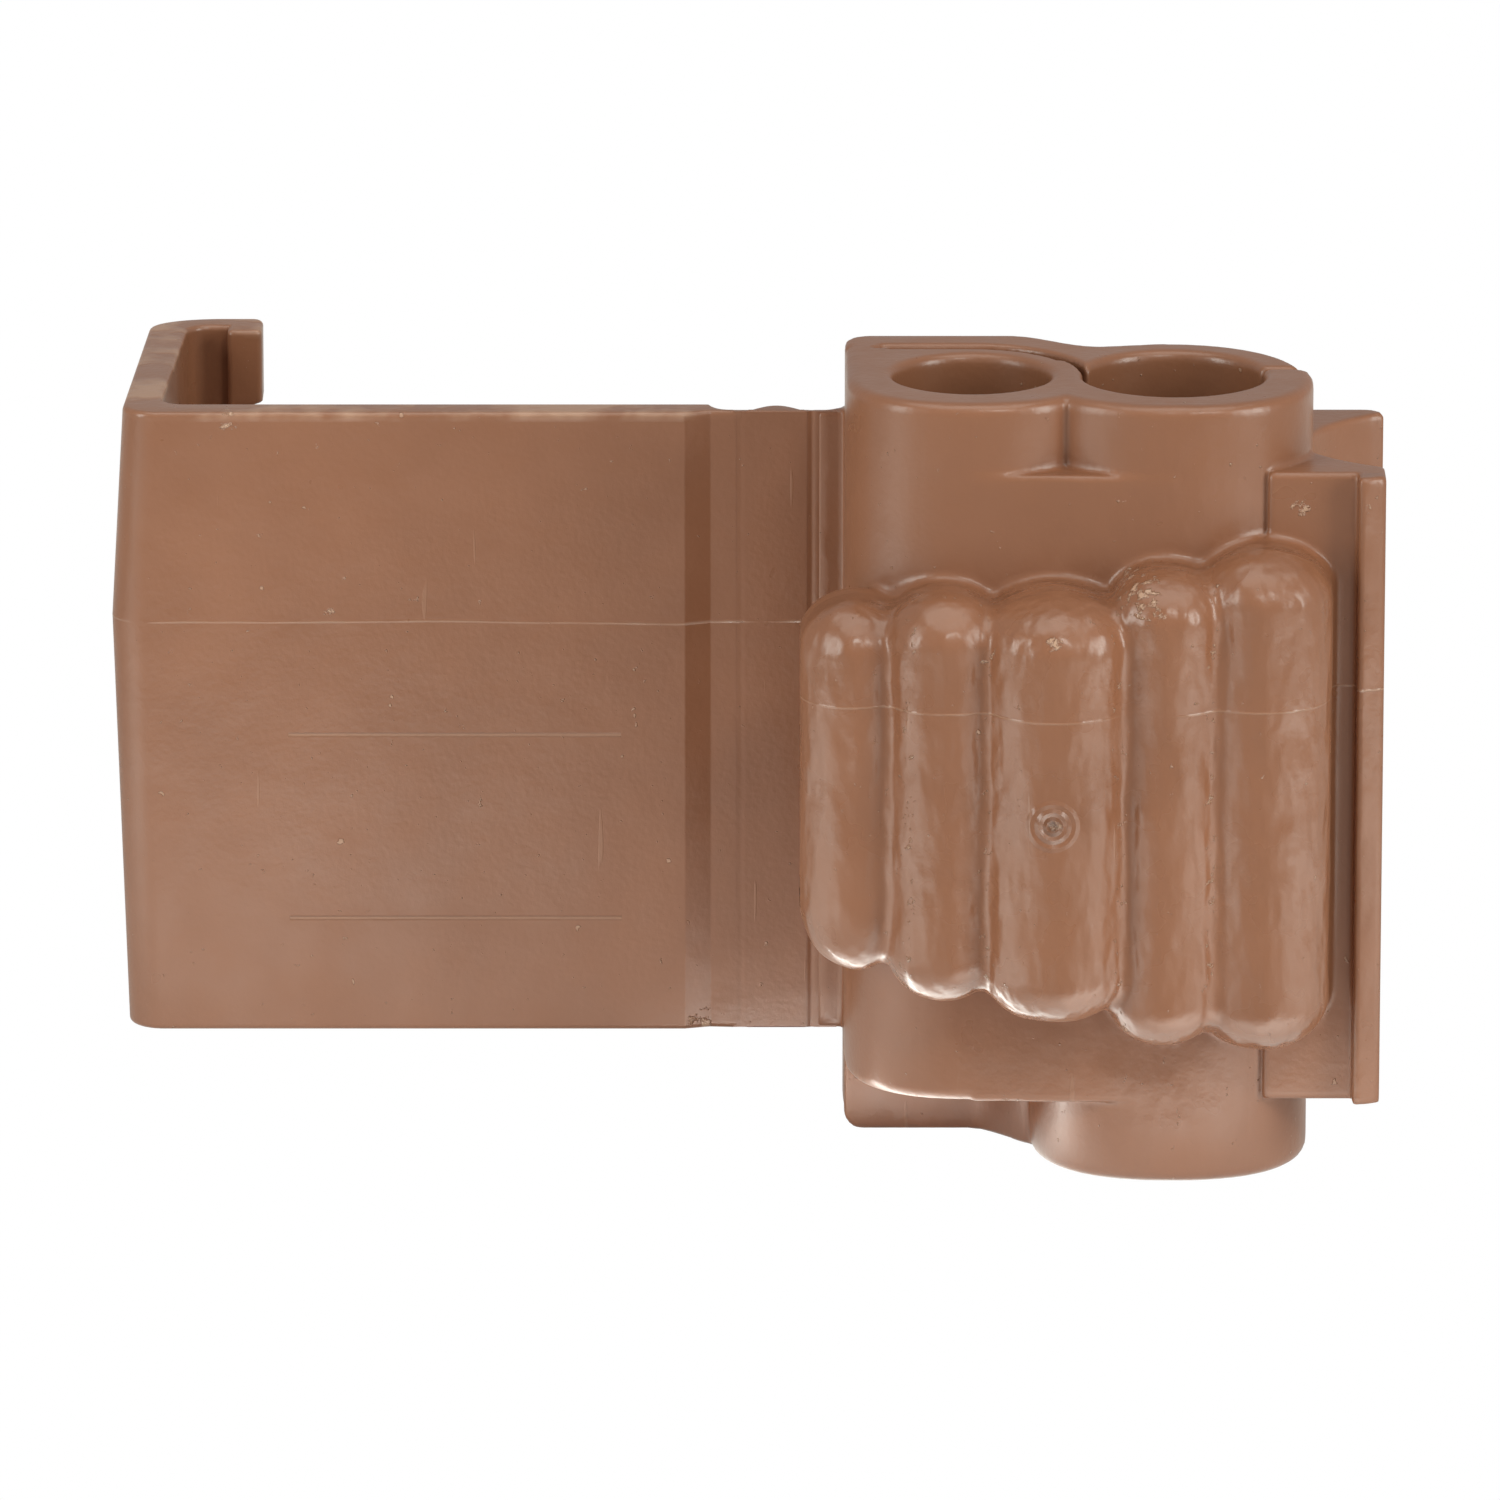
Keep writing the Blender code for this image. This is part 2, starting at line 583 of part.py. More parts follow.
for piece in (housing, web, cover):
    piece.data.materials.clear()
    piece.data.materials.append(brown)
contact.data.materials.clear()
contact.data.materials.append(tinned)
for piece in (housing, web, cover, contact):
    piece.data.set_sharp_from_angle(angle=math.radians(35))
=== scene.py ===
"""Looks of the t-tap wire connector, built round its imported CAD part.

Lengths are in millimetres until a mesh is made. X starts at the fold next to the housing, Y at the outer
face of the hinge web and Z at the foot. ORIGIN is where that corner lies in the part's own frame.
"""

import math

import bmesh
import bpy
import numpy as np
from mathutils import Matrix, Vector


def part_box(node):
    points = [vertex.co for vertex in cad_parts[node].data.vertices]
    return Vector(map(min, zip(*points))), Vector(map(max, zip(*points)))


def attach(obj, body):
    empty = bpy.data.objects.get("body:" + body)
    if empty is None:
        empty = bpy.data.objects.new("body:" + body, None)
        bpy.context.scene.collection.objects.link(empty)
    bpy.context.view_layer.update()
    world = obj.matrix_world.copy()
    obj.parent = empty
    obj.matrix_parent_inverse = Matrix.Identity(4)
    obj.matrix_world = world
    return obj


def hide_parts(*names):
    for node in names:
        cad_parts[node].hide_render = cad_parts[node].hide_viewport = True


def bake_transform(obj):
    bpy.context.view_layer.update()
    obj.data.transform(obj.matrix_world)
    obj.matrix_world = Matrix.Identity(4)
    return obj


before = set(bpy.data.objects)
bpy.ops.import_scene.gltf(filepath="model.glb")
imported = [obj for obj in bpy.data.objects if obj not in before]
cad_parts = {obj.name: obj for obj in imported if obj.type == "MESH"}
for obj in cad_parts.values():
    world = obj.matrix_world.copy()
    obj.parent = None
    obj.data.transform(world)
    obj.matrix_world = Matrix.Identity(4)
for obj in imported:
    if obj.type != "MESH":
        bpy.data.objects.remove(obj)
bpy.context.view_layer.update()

# Wire ports
TAP_X = 4.9
RUN_X = 11.1
PORT_Y = -4.0
TAP_BORE = 2.43
RUN_BORE = 2.8
TAP_HALF = 3.88
TAP_FRONT = 4.03
TAP_BACK = 3.38
RUN_HALF = 4.3
RUN_FRONT = 4.3
RUN_BACK = 4.0
ARM_HALF = 4.05
SQUARENESS = 2.35
TAP_FLOOR = 3.95

# Heights
BOTTOM = 2.55
TOP = 22.53
TUBE_TOP = 24.73
PARTING = 15.8

# Housing
LEFT = 1.02
RIGHT = 15.4
SHEET_BACK = 1.0
SLIT = 0.3
SLIT_FRONT = -0.6
SLIT_ROOT = 1.1
ENTRY = -3.3
ENTRY_GAP = 0.24
PLATE_FRONT = 2.6
LIP_RIGHT = 17.5
LIP_WIDTH = 0.85
LIP_Y = -8.5
JAW_Y = -7.8
JAW_RIGHT = 17.75
JAW_BACK = 0.3
TAB_HUMP = 1.05
TAB_SWELL = 1.1

# Ribs: where their backs end, then the middle, radius, crest, lowest and highest point of each and the
# roundness of its lower and upper end
RIB_BACK = -6.8
RIBS = (
    (1.32, 1.75, 10.3, 7.0, 18.75, 2.5, 1.5),
    (4.045, 1.8, 11.2, 6.3, 19.2, 1.7, 1.5),
    (7.42, 2.35, 12.08, 5.75, 19.3, 1.7, 1.6),
    (10.795, 1.8, 11.3, 4.9, 19.95, 1.6, 1.5),
    (13.77, 2.1, 11.0, 4.6, 20.45, 1.7, 1.5),
)

# Hinges, web and cover
WEB = 2.2
FILM = 0.2
FOLD_GAP = 0.3
FOLD_CHAMFER = 0.06
WEB_HUMP = 0.72
WEB_TURN = math.radians(93)
PROUD = 0.25
INNER = 0.95
BAND = 0.95
BAND_WIDTH = 0.8
HOOK_WALL = 1.2
HOOK_LEAN = math.tan(math.radians(2.4))
HOOK_DRAFT = 0.4
HOOK_CORNER = 1.1
HOOK_BACK_CORNER = 1.3
HOOK_BACK_SPREAD = 2.3
HOOK_INNER_CORNER = 0.75
HOOK_TIP_ROUND = 0.35
HOOK_LIP_ROUND = 0.18
HOOK_RETURN = 1.0
HOOK_LIP = 0.7
HOOK_LIP_WIDTH = 1.1
RELIEF_EASE = 0.3
CRISP = 0.04
COVER_ROUND = 0.16
WEB_ROUND = 0.06
SIDE_CLEARANCE = 0.22
FRONT_CLEARANCE = 0.4
RIB_CLEARANCE = 0.25

# Contact
PITCH = 4.8
SHEET = 0.85
LEG = 9.0
BEND = 1.0
CONTACT_Z = 12.4
CONTACT_BACK = 0.9
CONTACT_TRAVEL = 6.0
CONTACT_LEFT = 1.9
CONTACT_RIGHT = 14.47
CLEARANCE = 0.25
SLOTS = ((TAP_X, 1.1), (RUN_X, 2.1))
SLOT_ROOT = 1.9
MOUTH = 1.05
MOUTH_DEPTH = 1.2
CONTACT_ROUND = 0.05

# Softboxes, facing LIGHT_TARGET: name, place and size in metres, and power in watts
LIGHT_TINT = (0.96, 1.0, 0.95)
LIGHT_TARGET = (0, 0, 0.012)
SOFTBOXES = (
    ("left softbox", (-0.31, -0.18, 0.1), (0.12, 0.3), 0.82),
    ("right softbox", (0.31, -0.18, 0.1), (0.12, 0.3), 0.98),
    ("top softbox", (0.0, -0.06, 0.4), (0.4, 0.3), 0.85),
    ("key light", (0.1, -0.28, 0.26), (0.07, 0.06), 0.28),
)

# Brightness of the room and the table, and patches of light on the table that only glossy surfaces see,
# each with its middle and reach in millimetres and its strength
FLOOR_RADIUS = 1.5
FLOOR_SIDES = 96
ROOM = 0.14
ROOM_MIRRORED = 0.55
FLOOR_GLOW = 0.13
MIRRORED_FRONT = 0.4
MIRRORED_PATCHES = (
    ((18, -15), (11, 3.5), 5.5),
    ((4, -7.0), (4.5, 2.4), 7.0),
    ((44, -50), (14, 20), 2.0),
    ((11, -9), (14, 3), 1.8),
    ((0.0, -6.2), (3.0, 0.5), 26.0),
    ((-15, -25), (12, 20), 3.4),
    ((-46, -24), (16, 24), 4.0),
    ((50, -26), (16, 24), 3.2),
    ((0, 160), (400, 130), 0.5),
)

# Camera: its height over the horizon in degrees, what it looks at and how far away it is in metres, and
# its lens and sensor in millimetres
CAMERA_LIFT = 15.5
CAMERA_TARGET = (0.00012, 0, 0.0116)
CAMERA_AWAY = 0.45
CAMERA_LENS = 345.6
CAMERA_SENSOR = 36

# Colours of the finishes
BROWN = "#86583f"
BROWN_DARK = "#794e37"
BROWN_LIGHT = "#936247"
# Pale colour of rubbed marks and torn crumbs, also used for the painted highlight along the cover's upper
# edge
WEAR_AND_HIGHLIGHT_PALE = "#c8a58c"
TIN = "#c9c5bb"
TIN_DARK = "#b8b2a4"
TIN_LIGHT = "#d6d3cb"
TABLE_WHITE = "#f6f5f3"

# Heights of the plastic's grain, waves, wrinkles and marks, in metres
GRAIN = 0.000008
WAVES = 0.00003
WRINKLES = 0.00024
WORN_HEIGHT = 0.00003
TORN_HEIGHT = 0.00002

# Marks in the plastic, in metres in the frame, on the side in front of BACK_LIMIT: engraved rules on the
# cover, and the gate's rings on rib 3
BACK_LIMIT = 0.0003
RULE_MIDDLE = -0.0091
RULE_HALF = 0.0052
RULES = (0.01216, 0.00621)
RULE_DEPTH = 0.00005
GATE = (0.00934, 0.01251)
GATE_RINGS = ((0.0002, 0.00012, 0.00016), (0.00044, 0.00013, 0.00009), (0.0007, 0.00013, 0.00005),
              (0.0, 0.00014, -0.0003))

# Torn places in mm: x from the inner fold, z, reach; and where the ribs' valleys run
TORN = (
    (7.35, 12.56, 0.3),
    (10.05, 19.3, 0.85),
    (7.34, 18.25, 0.35),
    (9.45, 5.6, 0.35),
    (14.88, 21.45, 0.42),
    (12.75, 22.9, 0.12),
    (-12.45, 16.58, 0.3),
    (-15.0, 16.1, 0.3),
    (-3.4, 2.75, 0.55),
    (-18.1, 22.3, 0.5),
)
VALLEYS = (2.9, 5.25, 9.35, 12.15)
VALLEY_FRONT = -0.0088

# Corners and cells of the housing's grid. Rib 1 reaches 0.03 past the left side, so its flank is open there
GRID_LOW = (-0.4, -12.6, -0.5)
GRID_HIGH = (18.2, 1.6, TUBE_TOP + 0.5)
CELL = 0.125
FACE_LIMIT = 190000

low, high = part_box("housing")
ORIGIN = np.array([high.x * 1000 - JAW_RIGHT, low.y * 1000 + 12.1, 0.0])


def plastic_look():
    """Moulded polypropylene: brown, satin, faintly mottled, glossier and wavier on the ribs."""
    material, tree, shader = principled("moulded polypropylene", BROWN, 0.34)
    shader.inputs["Specular IOR Level"].default_value = 0.5
    place = add(tree, "ShaderNodeTexCoord").outputs["Object"]
    parts = add(tree, "ShaderNodeSeparateXYZ")
    tree.links.new(place, parts.inputs["Vector"])
    on_ribs = spread(tree, parts.outputs["Y"], -0.0078, -0.009, 0.0, 1.0)
    mottle = noise(tree, place, 260, 4, 0.55)
    cloud = noise(tree, place, 60, 2, 0.5)
    tone = add(tree, "ShaderNodeMix", data_type="RGBA")
    tone.inputs["A"].default_value = colour(BROWN_DARK)
    tone.inputs["B"].default_value = colour(BROWN_LIGHT)
    blend = plus(tree, times(tree, mottle, 0.6), times(tree, cloud, 0.4))
    tree.links.new(blend, tone.inputs["Factor"])
    line = parting_line(tree, place, parts.outputs["Z"])
    torn = torn_skin(tree, place, parts)
    engraved = rules(tree, parts)
    wear_and_highlight = larger(tree, larger(tree, line, scuffs(tree, place)), torn)
    wear_and_highlight = larger(tree, wear_and_highlight, times(tree, engraved, 0.45))
    # Painted highlight: the cover's upper edge is made paler in runs and joined to the wear marks
    wear_and_highlight = larger(tree, wear_and_highlight, painted_edge_highlight(tree, place, parts))
    # The pale mix covers the wear marks, the torn crumbs and the painted edge highlight
    pale = add(tree, "ShaderNodeMix", data_type="RGBA")
    paleness = larger(tree, times(tree, wear_and_highlight, 0.4), times(tree, torn, 0.6))
    tree.links.new(paleness, pale.inputs["Factor"])
    tree.links.new(tone.outputs["Result"], pale.inputs["A"])
    pale.inputs["B"].default_value = colour(WEAR_AND_HIGHLIGHT_PALE)
    tree.links.new(pale.outputs["Result"], shader.inputs["Base Color"])
    uneven = noise(tree, place, 420, 3, 0.6)
    even = spread(tree, uneven, 0.3, 0.7, 0.27, 0.38)
    glossy = spread(tree, uneven, 0.3, 0.7, 0.22, 0.36)
    gloss = plus(tree, even, times(tree, on_ribs, minus(tree, glossy, even)))
    tree.links.new(gloss, shader.inputs["Roughness"])
    stretch = add(tree, "ShaderNodeMapping")
    stretch.inputs["Scale"].default_value = (1.0, 1.0, 0.45)
    tree.links.new(place, stretch.inputs["Vector"])
    wrinkles = times(tree, noise(tree, stretch.outputs["Vector"], 850, 2, 0.5), on_ribs)
    height = times(tree, noise(tree, place, 5200, 2, 0.5), GRAIN)
    height = plus(tree, height, times(tree, noise(tree, place, 700, 3, 0.45), WAVES))
    height = plus(tree, height, times(tree, wrinkles, WRINKLES))
    height = plus(tree, height, times(tree, wear_and_highlight, WORN_HEIGHT))
    height = plus(tree, height, times(tree, torn, TORN_HEIGHT))
    height = minus(tree, height, times(tree, engraved, RULE_DEPTH))
    height = plus(tree, height, gate_mark(tree, parts))
    tree.links.new(bump(tree, height, 1.0, 1.0), shader.inputs["Normal"])
    return material


def spread(tree, value, low, high, first, last):
    """Maps low to high onto first to last, held at both ends."""
    node = add(tree, "ShaderNodeMapRange")
    tree.links.new(value, node.inputs["Value"])
    for name, number in (("From Min", low), ("From Max", high), ("To Min", first), ("To Max", last)):
        node.inputs[name].default_value = number
    return node.outputs["Result"]


def scuffs(tree, place):
    """Sparse pale flecks and short scratches where the skin was rubbed."""
    flecks = noise(tree, place, 2400, 2, 0.6)
    fleck = spread(tree, flecks, 0.745, 0.77, 0.0, 1.0)
    tilt = add(tree, "ShaderNodeMapping")
    tilt.inputs["Rotation"].default_value = (0.3, 0.9, 0.2)
    tilt.inputs["Scale"].default_value = (1.0, 1.0, 0.08)
    tree.links.new(place, tilt.inputs["Vector"])
    scratches = noise(tree, tilt.outputs["Vector"], 2600, 1, 0.5)
    scratch = spread(tree, scratches, 0.77, 0.79, 0.0, 0.2)
    return larger(tree, fleck, scratch)


def painted_edge_highlight(tree, place, parts):
    """A painted highlight along the cover's upper edge: paler there, broken into runs by noise."""
    near = spread(tree, parts.outputs["Z"], TOP / 1000 - 0.0003, TOP / 1000 - 0.0001, 0.0, 1.0)
    cover = below(tree, parts.outputs["X"], (ORIGIN[0] - WEB) / 1000)
    runs = spread(tree, noise(tree, place, 420, 3, 0.6), 0.45, 0.6, 0.1, 1.0)
    return times(tree, times(tree, near, cover), runs)


def torn_skin(tree, place, parts):
    """Small torn places: rough pale crumbs at the nicks and along the valleys between the ribs."""
    total = None
    for x, z, reach in TORN:
        across = minus(tree, parts.outputs["X"], (x + ORIGIN[0]) / 1000)
        up = minus(tree, parts.outputs["Z"], z / 1000)
        square = plus(tree, times(tree, across, across), times(tree, up, up))
        spot = spread(tree, square, 0.0, (reach / 1000) ** 2, 1.0, 0.0)
        total = spot if total is None else larger(tree, total, spot)
    front = below(tree, parts.outputs["Y"], VALLEY_FRONT)
    for x in VALLEYS:
        across = size_of(tree, minus(tree, parts.outputs["X"], (x + ORIGIN[0]) / 1000))
        crease = times(tree, spread(tree, across, 0.0001, 0.00035, 0.4, 0.0), front)
        total = larger(tree, total, crease)
    total = times(tree, total, below(tree, parts.outputs["Y"], BACK_LIMIT))
    crumbs = noise(tree, place, 3200, 3, 0.65)
    return spread(tree, plus(tree, crumbs, times(tree, total, 0.23)), 0.7, 0.8, 0.0, 1.0)


def rules(tree, parts):
    """1 in the two thin lines engraved on the cover, 0 elsewhere."""
    x, z = parts.outputs["X"], parts.outputs["Z"]
    inside = below(tree, size_of(tree, minus(tree, x, RULE_MIDDLE)), RULE_HALF)
    depth = None
    for height in RULES:
        off = size_of(tree, minus(tree, z, height))
        groove = spread(tree, off, 0.00002, 0.00008, 1.0, 0.0)
        depth = groove if depth is None else plus(tree, depth, groove)
    front = below(tree, parts.outputs["Y"], BACK_LIMIT)
    return times(tree, times(tree, depth, inside), front)


def gate_mark(tree, parts):
    """The ring that the gate left on the middle rib, as height."""
    x = minus(tree, parts.outputs["X"], GATE[0])
    z = minus(tree, parts.outputs["Z"], GATE[1])
    away = math_node(tree, "SQRT", plus(tree, times(tree, x, x), times(tree, z, z)))
    front = below(tree, parts.outputs["Y"], -0.01)
    height = None
    for radius, width, depth in GATE_RINGS:
        off = size_of(tree, minus(tree, away, radius))
        ring = spread(tree, off, 0.0, width, depth, 0.0)
        height = ring if height is None else plus(tree, height, ring)
    return times(tree, height, front)


def parting_line(tree, place, height):
    """1 on the thin line where the mould halves met, 0 away from it, broken up by noise."""
    wander = times(tree, noise(tree, place, 90, 2, 0.5), 0.0003)
    height = minus(tree, height, wander)
    away = size_of(tree, minus(tree, height, PARTING / 1000 - 0.00015))
    near = spread(tree, away, 0.0, 0.00005, 1.0, 0.0)
    broken = times(tree, noise(tree, place, 500, 2, 0.5), 2.4)
    return times(tree, near, math_node(tree, "SUBTRACT", broken, 0.75, clamp=True))


def tin_look():
    """Tin-plated brass strip: pale grey, drawn along the strip, a little dull."""
    material, tree, shader = principled("tin-plated brass", TIN, 0.34)
    shader.inputs["Metallic"].default_value = 1
    place = add(tree, "ShaderNodeTexCoord").outputs["Object"]
    stretch = add(tree, "ShaderNodeMapping")
    stretch.inputs["Scale"].default_value = (0.06, 1, 1)
    tree.links.new(place, stretch.inputs["Vector"])
    grain = noise(tree, stretch.outputs["Vector"], 4200, 3, 0.6)
    cloud = noise(tree, place, 380, 3, 0.55)
    tone = add(tree, "ShaderNodeMix", data_type="RGBA")
    tone.inputs["A"].default_value = colour(TIN_DARK)
    tone.inputs["B"].default_value = colour(TIN_LIGHT)
    tree.links.new(cloud, tone.inputs["Factor"])
    tree.links.new(tone.outputs["Result"], shader.inputs["Base Color"])
    tree.links.new(spread(tree, grain, 0.0, 1.0, 0.26, 0.44), shader.inputs["Roughness"])
    tree.links.new(bump(tree, grain, 0.3, 0.00002), shader.inputs["Normal"])
    return material


def principled(name, base, roughness):
    """A new material with its node tree and its shader."""
    material = bpy.data.materials.new(name)
    material.use_nodes = True
    tree = material.node_tree
    shader = tree.nodes["Principled BSDF"]
    shader.inputs["Base Color"].default_value = colour(base)
    shader.inputs["Roughness"].default_value = roughness
    return material, tree, shader


def colour(text):
    """A linear colour from a hexadecimal sRGB one."""
    values = [int(text[i:i + 2], 16) / 255 for i in (1, 3, 5)]
    return tuple(v / 12.92 if v <= 0.04045 else ((v + 0.055) / 1.055) ** 2.4 for v in values) + (1,)


def add(tree, kind, **settings):
    """A new node in a tree, with its settings."""
    node = tree.nodes.new(kind)
    for key, value in settings.items():
        setattr(node, key, value)
    return node


def noise(tree, place, scale, detail, roughness):
    node = add(tree, "ShaderNodeTexNoise")
    tree.links.new(place, node.inputs["Vector"])
    node.inputs["Scale"].default_value = scale
    node.inputs["Detail"].default_value = detail
    node.inputs["Roughness"].default_value = roughness
    return node.outputs["Fac"]


def math_node(tree, operation, first, second=None, clamp=False):
    """The result of one operation on sockets or plain numbers."""
    node = add(tree, "ShaderNodeMath", operation=operation, use_clamp=clamp)
    for socket, value in zip(node.inputs, (first, second)):
        if isinstance(value, bpy.types.NodeSocket):
            tree.links.new(value, socket)
        elif value is not None:
            socket.default_value = value
    return node.outputs[0]


def plus(tree, first, second):
    return math_node(tree, "ADD", first, second)


def minus(tree, first, second):
    return math_node(tree, "SUBTRACT", first, second)


def times(tree, first, second):
    return math_node(tree, "MULTIPLY", first, second)


def larger(tree, first, second):
    return math_node(tree, "MAXIMUM", first, second)


def below(tree, value, limit):
    """1 where the value is less than the limit, 0 elsewhere."""
    return math_node(tree, "LESS_THAN", value, limit)


def size_of(tree, value):
    """The value without its sign."""
    return math_node(tree, "ABSOLUTE", value)


def bump(tree, height, strength, distance):
    node = add(tree, "ShaderNodeBump")
    tree.links.new(height, node.inputs["Height"])
    node.inputs["Strength"].default_value = strength
    node.inputs["Distance"].default_value = distance
    return node.outputs["Normal"]


def arc(centre, radius, start, end, steps):
    """Points on a circle, angles in degrees."""
    angle = np.radians(np.linspace(start, end, steps + 1))
    return np.column_stack([centre[0] + radius * np.cos(angle), centre[1] + radius * np.sin(angle)])


def bow(centre, half, depth, squareness, start, end, steps):
    """Points on a rounded square; a squareness of 2 makes it an ellipse."""
    angle = np.radians(np.linspace(start, end, steps + 1))
    c, s = np.cos(angle), np.sin(angle)
    x = centre[0] + half * np.sign(c) * np.abs(c) ** (2 / squareness)
    y = centre[1] + depth * np.sign(s) * np.abs(s) ** (2 / squareness)
    return np.column_stack([x, y])


def ease(start, end, steps):
    """An S-curve between two points, level at both ends."""
    t = np.linspace(0, 1, steps + 1)
    rise = (1 - np.cos(math.pi * t)) / 2
    return np.column_stack([start[0] + (end[0] - start[0]) * t, start[1] + (end[1] - start[1]) * rise])


def sweep(start, middle, end, steps):
    """A curve from start to end that leans towards the middle point."""
    t = np.linspace(0, 1, steps + 1)[:, None]
    return np.array(start) * (1 - t) ** 2 + np.array(middle) * 2 * t * (1 - t) + np.array(end) * t * t


def path(*pieces):
    """One outline from points and runs of points."""
    return np.vstack([np.atleast_2d(piece) for piece in pieces])


def smooth(t):
    """From 0 to 1 with level ends, for t from 0 to 1."""
    t = np.clip(t, 0, 1)
    return t * t * (3 - 2 * t)


class Field:
    """Signed distances on a grid, less than 0 inside the plastic. A shape is an array on this grid."""

    def __init__(self, low, high, cell):
        self.low = np.array(low, float)
        self.cell = cell
        count = np.ceil((np.array(high) - self.low) / cell).astype(int) + 1
        x, y, z = (self.low[i] + cell * np.arange(count[i]) for i in range(3))
        self.x = x[:, None, None].astype(np.float32)
        self.y = y[None, :, None].astype(np.float32)
        self.z = z[None, None, :].astype(np.float32)

    def outline(self, points):
        """Distance to a closed outline in X and Y: to its nearest side, less than 0 within it."""
        x, y = self.x[:, :, 0], self.y[:, :, 0]
        best = np.full((x.shape[0], y.shape[1]), 1e9, np.float32)
        inside = np.zeros(best.shape, bool)
        for (ax, ay), (bx, by) in zip(points, np.roll(points, -1, axis=0)):
            dx, dy = bx - ax, by - ay
            length = dx * dx + dy * dy
            if length < 1e-12:
                continue
            t = np.clip(((x - ax) * dx + (y - ay) * dy) / length, 0, 1)
            best = np.minimum(best, (x - ax - t * dx) ** 2 + (y - ay - t * dy) ** 2)
            if dy != 0:
                inside ^= ((ay > y) != (by > y)) & (x < ax + (y - ay) * dx / dy)
        return np.where(inside, -1, 1)[:, :, None] * np.sqrt(best)[:, :, None]

    def prism(self, points, low, high, edge):
        """An outline raised from low to high with rounded rims."""
        return both(self.outline(points), np.maximum(low - self.z, self.z - high), edge)

    def bore(self, x, radius, low, high):
        """A round hole along Z."""
        across = np.hypot(self.x - x, self.y - PORT_Y) - radius
        return both(across, np.maximum(low - self.z, self.z - high), 0.3)

    def block(self, low, high):
        """A box between two corners."""
        sides = [np.maximum(a - axis, axis - b) for a, b, axis in zip(low, high, (self.x, self.y, self.z))]
        return np.maximum(np.maximum(sides[0], sides[1]), sides[2])

    def sample(self, values, points):
        """Values of a grid array at points between its corners."""
        place = (points - self.low) / self.cell
        limit = np.array(values.shape) - 2
        base = np.clip(np.floor(place).astype(int), 0, limit)
        t = place - base
        total = 0
        for i in (0, 1):
            for j in (0, 1):
                for k in (0, 1):
                    weight = (t[:, 0] if i else 1 - t[:, 0]) * (t[:, 1] if j else 1 - t[:, 1])
                    weight = weight * (t[:, 2] if k else 1 - t[:, 2])
                    total = total + weight * values[base[:, 0] + i, base[:, 1] + j, base[:, 2] + k]
        return total

    def surface(self, shape):
        """The surface where the distances are 0: one point a cell, one face for each crossed edge."""
        inside = shape < 0
        corners = [inside[i:inside.shape[0] - 1 + i, j:inside.shape[1] - 1 + j, k:inside.shape[2] - 1 + k]
                   for i in (0, 1) for j in (0, 1) for k in (0, 1)]
        some = np.logical_or.reduce(corners) & ~np.logical_and.reduce(corners)
        cells = np.argwhere(some)
        number = np.full(some.shape, -1, np.int64)
        number[tuple(cells.T)] = np.arange(len(cells))
        total = np.zeros((len(cells), 3))
        crossings = np.zeros(len(cells))
        for axis in range(3):
            step = np.eye(3, dtype=int)[axis]
            for offset in [o for o in np.ndindex(2, 2, 2) if o[axis] == 0]:
                start = cells + offset
                a = shape[tuple(start.T)].astype(float)
                b = shape[tuple((start + step).T)].astype(float)
                crossed = (a < 0) != (b < 0)
                t = np.where(crossed, a / np.where(crossed, a - b, 1), 0)
                total += np.where(crossed[:, None], start + step * t[:, None], 0)
                crossings += crossed
        points = self.low + self.cell * total / crossings[:, None]
        faces = []
        for axis in range(3):
            u, v = [(1, 2), (2, 0), (0, 1)][axis]
            first = np.take(inside, range(inside.shape[axis] - 1), axis)
            second = np.take(inside, range(1, inside.shape[axis]), axis)
            for leaving in (True, False):
                edges = np.argwhere((first & ~second) if leaving else (~first & second))
                ring = []
                for a, b in ((1, 1), (0, 1), (0, 0), (1, 0)):
                    cell = edges.copy()
                    cell[:, u] -= a
                    cell[:, v] -= b
                    ring.append(number[tuple(cell.T)])
                face = np.column_stack(ring)
                faces.append(face if leaving else face[:, ::-1])
        return points, np.vstack(faces)

    def settle(self, shape, points, rounds=2):
        """Moves points along the slope of the distances until they lie on the surface."""
        slope = [g.astype(np.float32) for g in np.gradient(shape, self.cell)]
        for _ in range(rounds):
            ahead = np.column_stack([self.sample(g, points) for g in slope])
            size = np.maximum((ahead ** 2).sum(1), 0.25)
            push = self.sample(shape, points) / size
            points = points - ahead * np.clip(push, -self.cell, self.cell)[:, None]
        ahead = np.column_stack([self.sample(g, points) for g in slope])
        return points, ahead / np.linalg.norm(ahead, axis=1)[:, None]


def both(a, b, radius):
    """Where two shapes overlap, with the edge between them rounded."""
    if radius == 0:
        return np.maximum(a, b)
    corner = np.hypot(np.maximum(a + radius, 0), np.maximum(b + radius, 0))
    return np.minimum(np.maximum(a, b), -radius) + corner


def join(a, b, radius):
    """Two shapes together, with a hollow fillet where they meet."""
    fillet = np.hypot(np.maximum(radius - a, 0), np.maximum(radius - b, 0))
    return np.maximum(np.minimum(a, b), radius) - fillet


def cut(a, b, radius):
    """The first shape less the second, with the edge between them rounded."""
    return both(a, -b, radius)


def guard_path():
    """The middle of the slit between the tap tube and the guard sheet, from its root to the run bore."""
    reach = TAP_BACK + SLIT / 2
    turn = bow((TAP_X, PORT_Y), reach, SLIT_FRONT + SLIT / 2 - PORT_Y, 2, 90, 8, 24)
    return path((LEFT + SLIT_ROOT, SLIT_FRONT + SLIT / 2), turn)


def strip(line, width):
    """The outline of a strip of even width along a line."""
    ahead = np.gradient(line, axis=0)
    side = np.column_stack([-ahead[:, 1], ahead[:, 0]])
    side *= width / 2 / np.linalg.norm(side, axis=1)[:, None]
    return path(line + side, (line - side)[::-1])


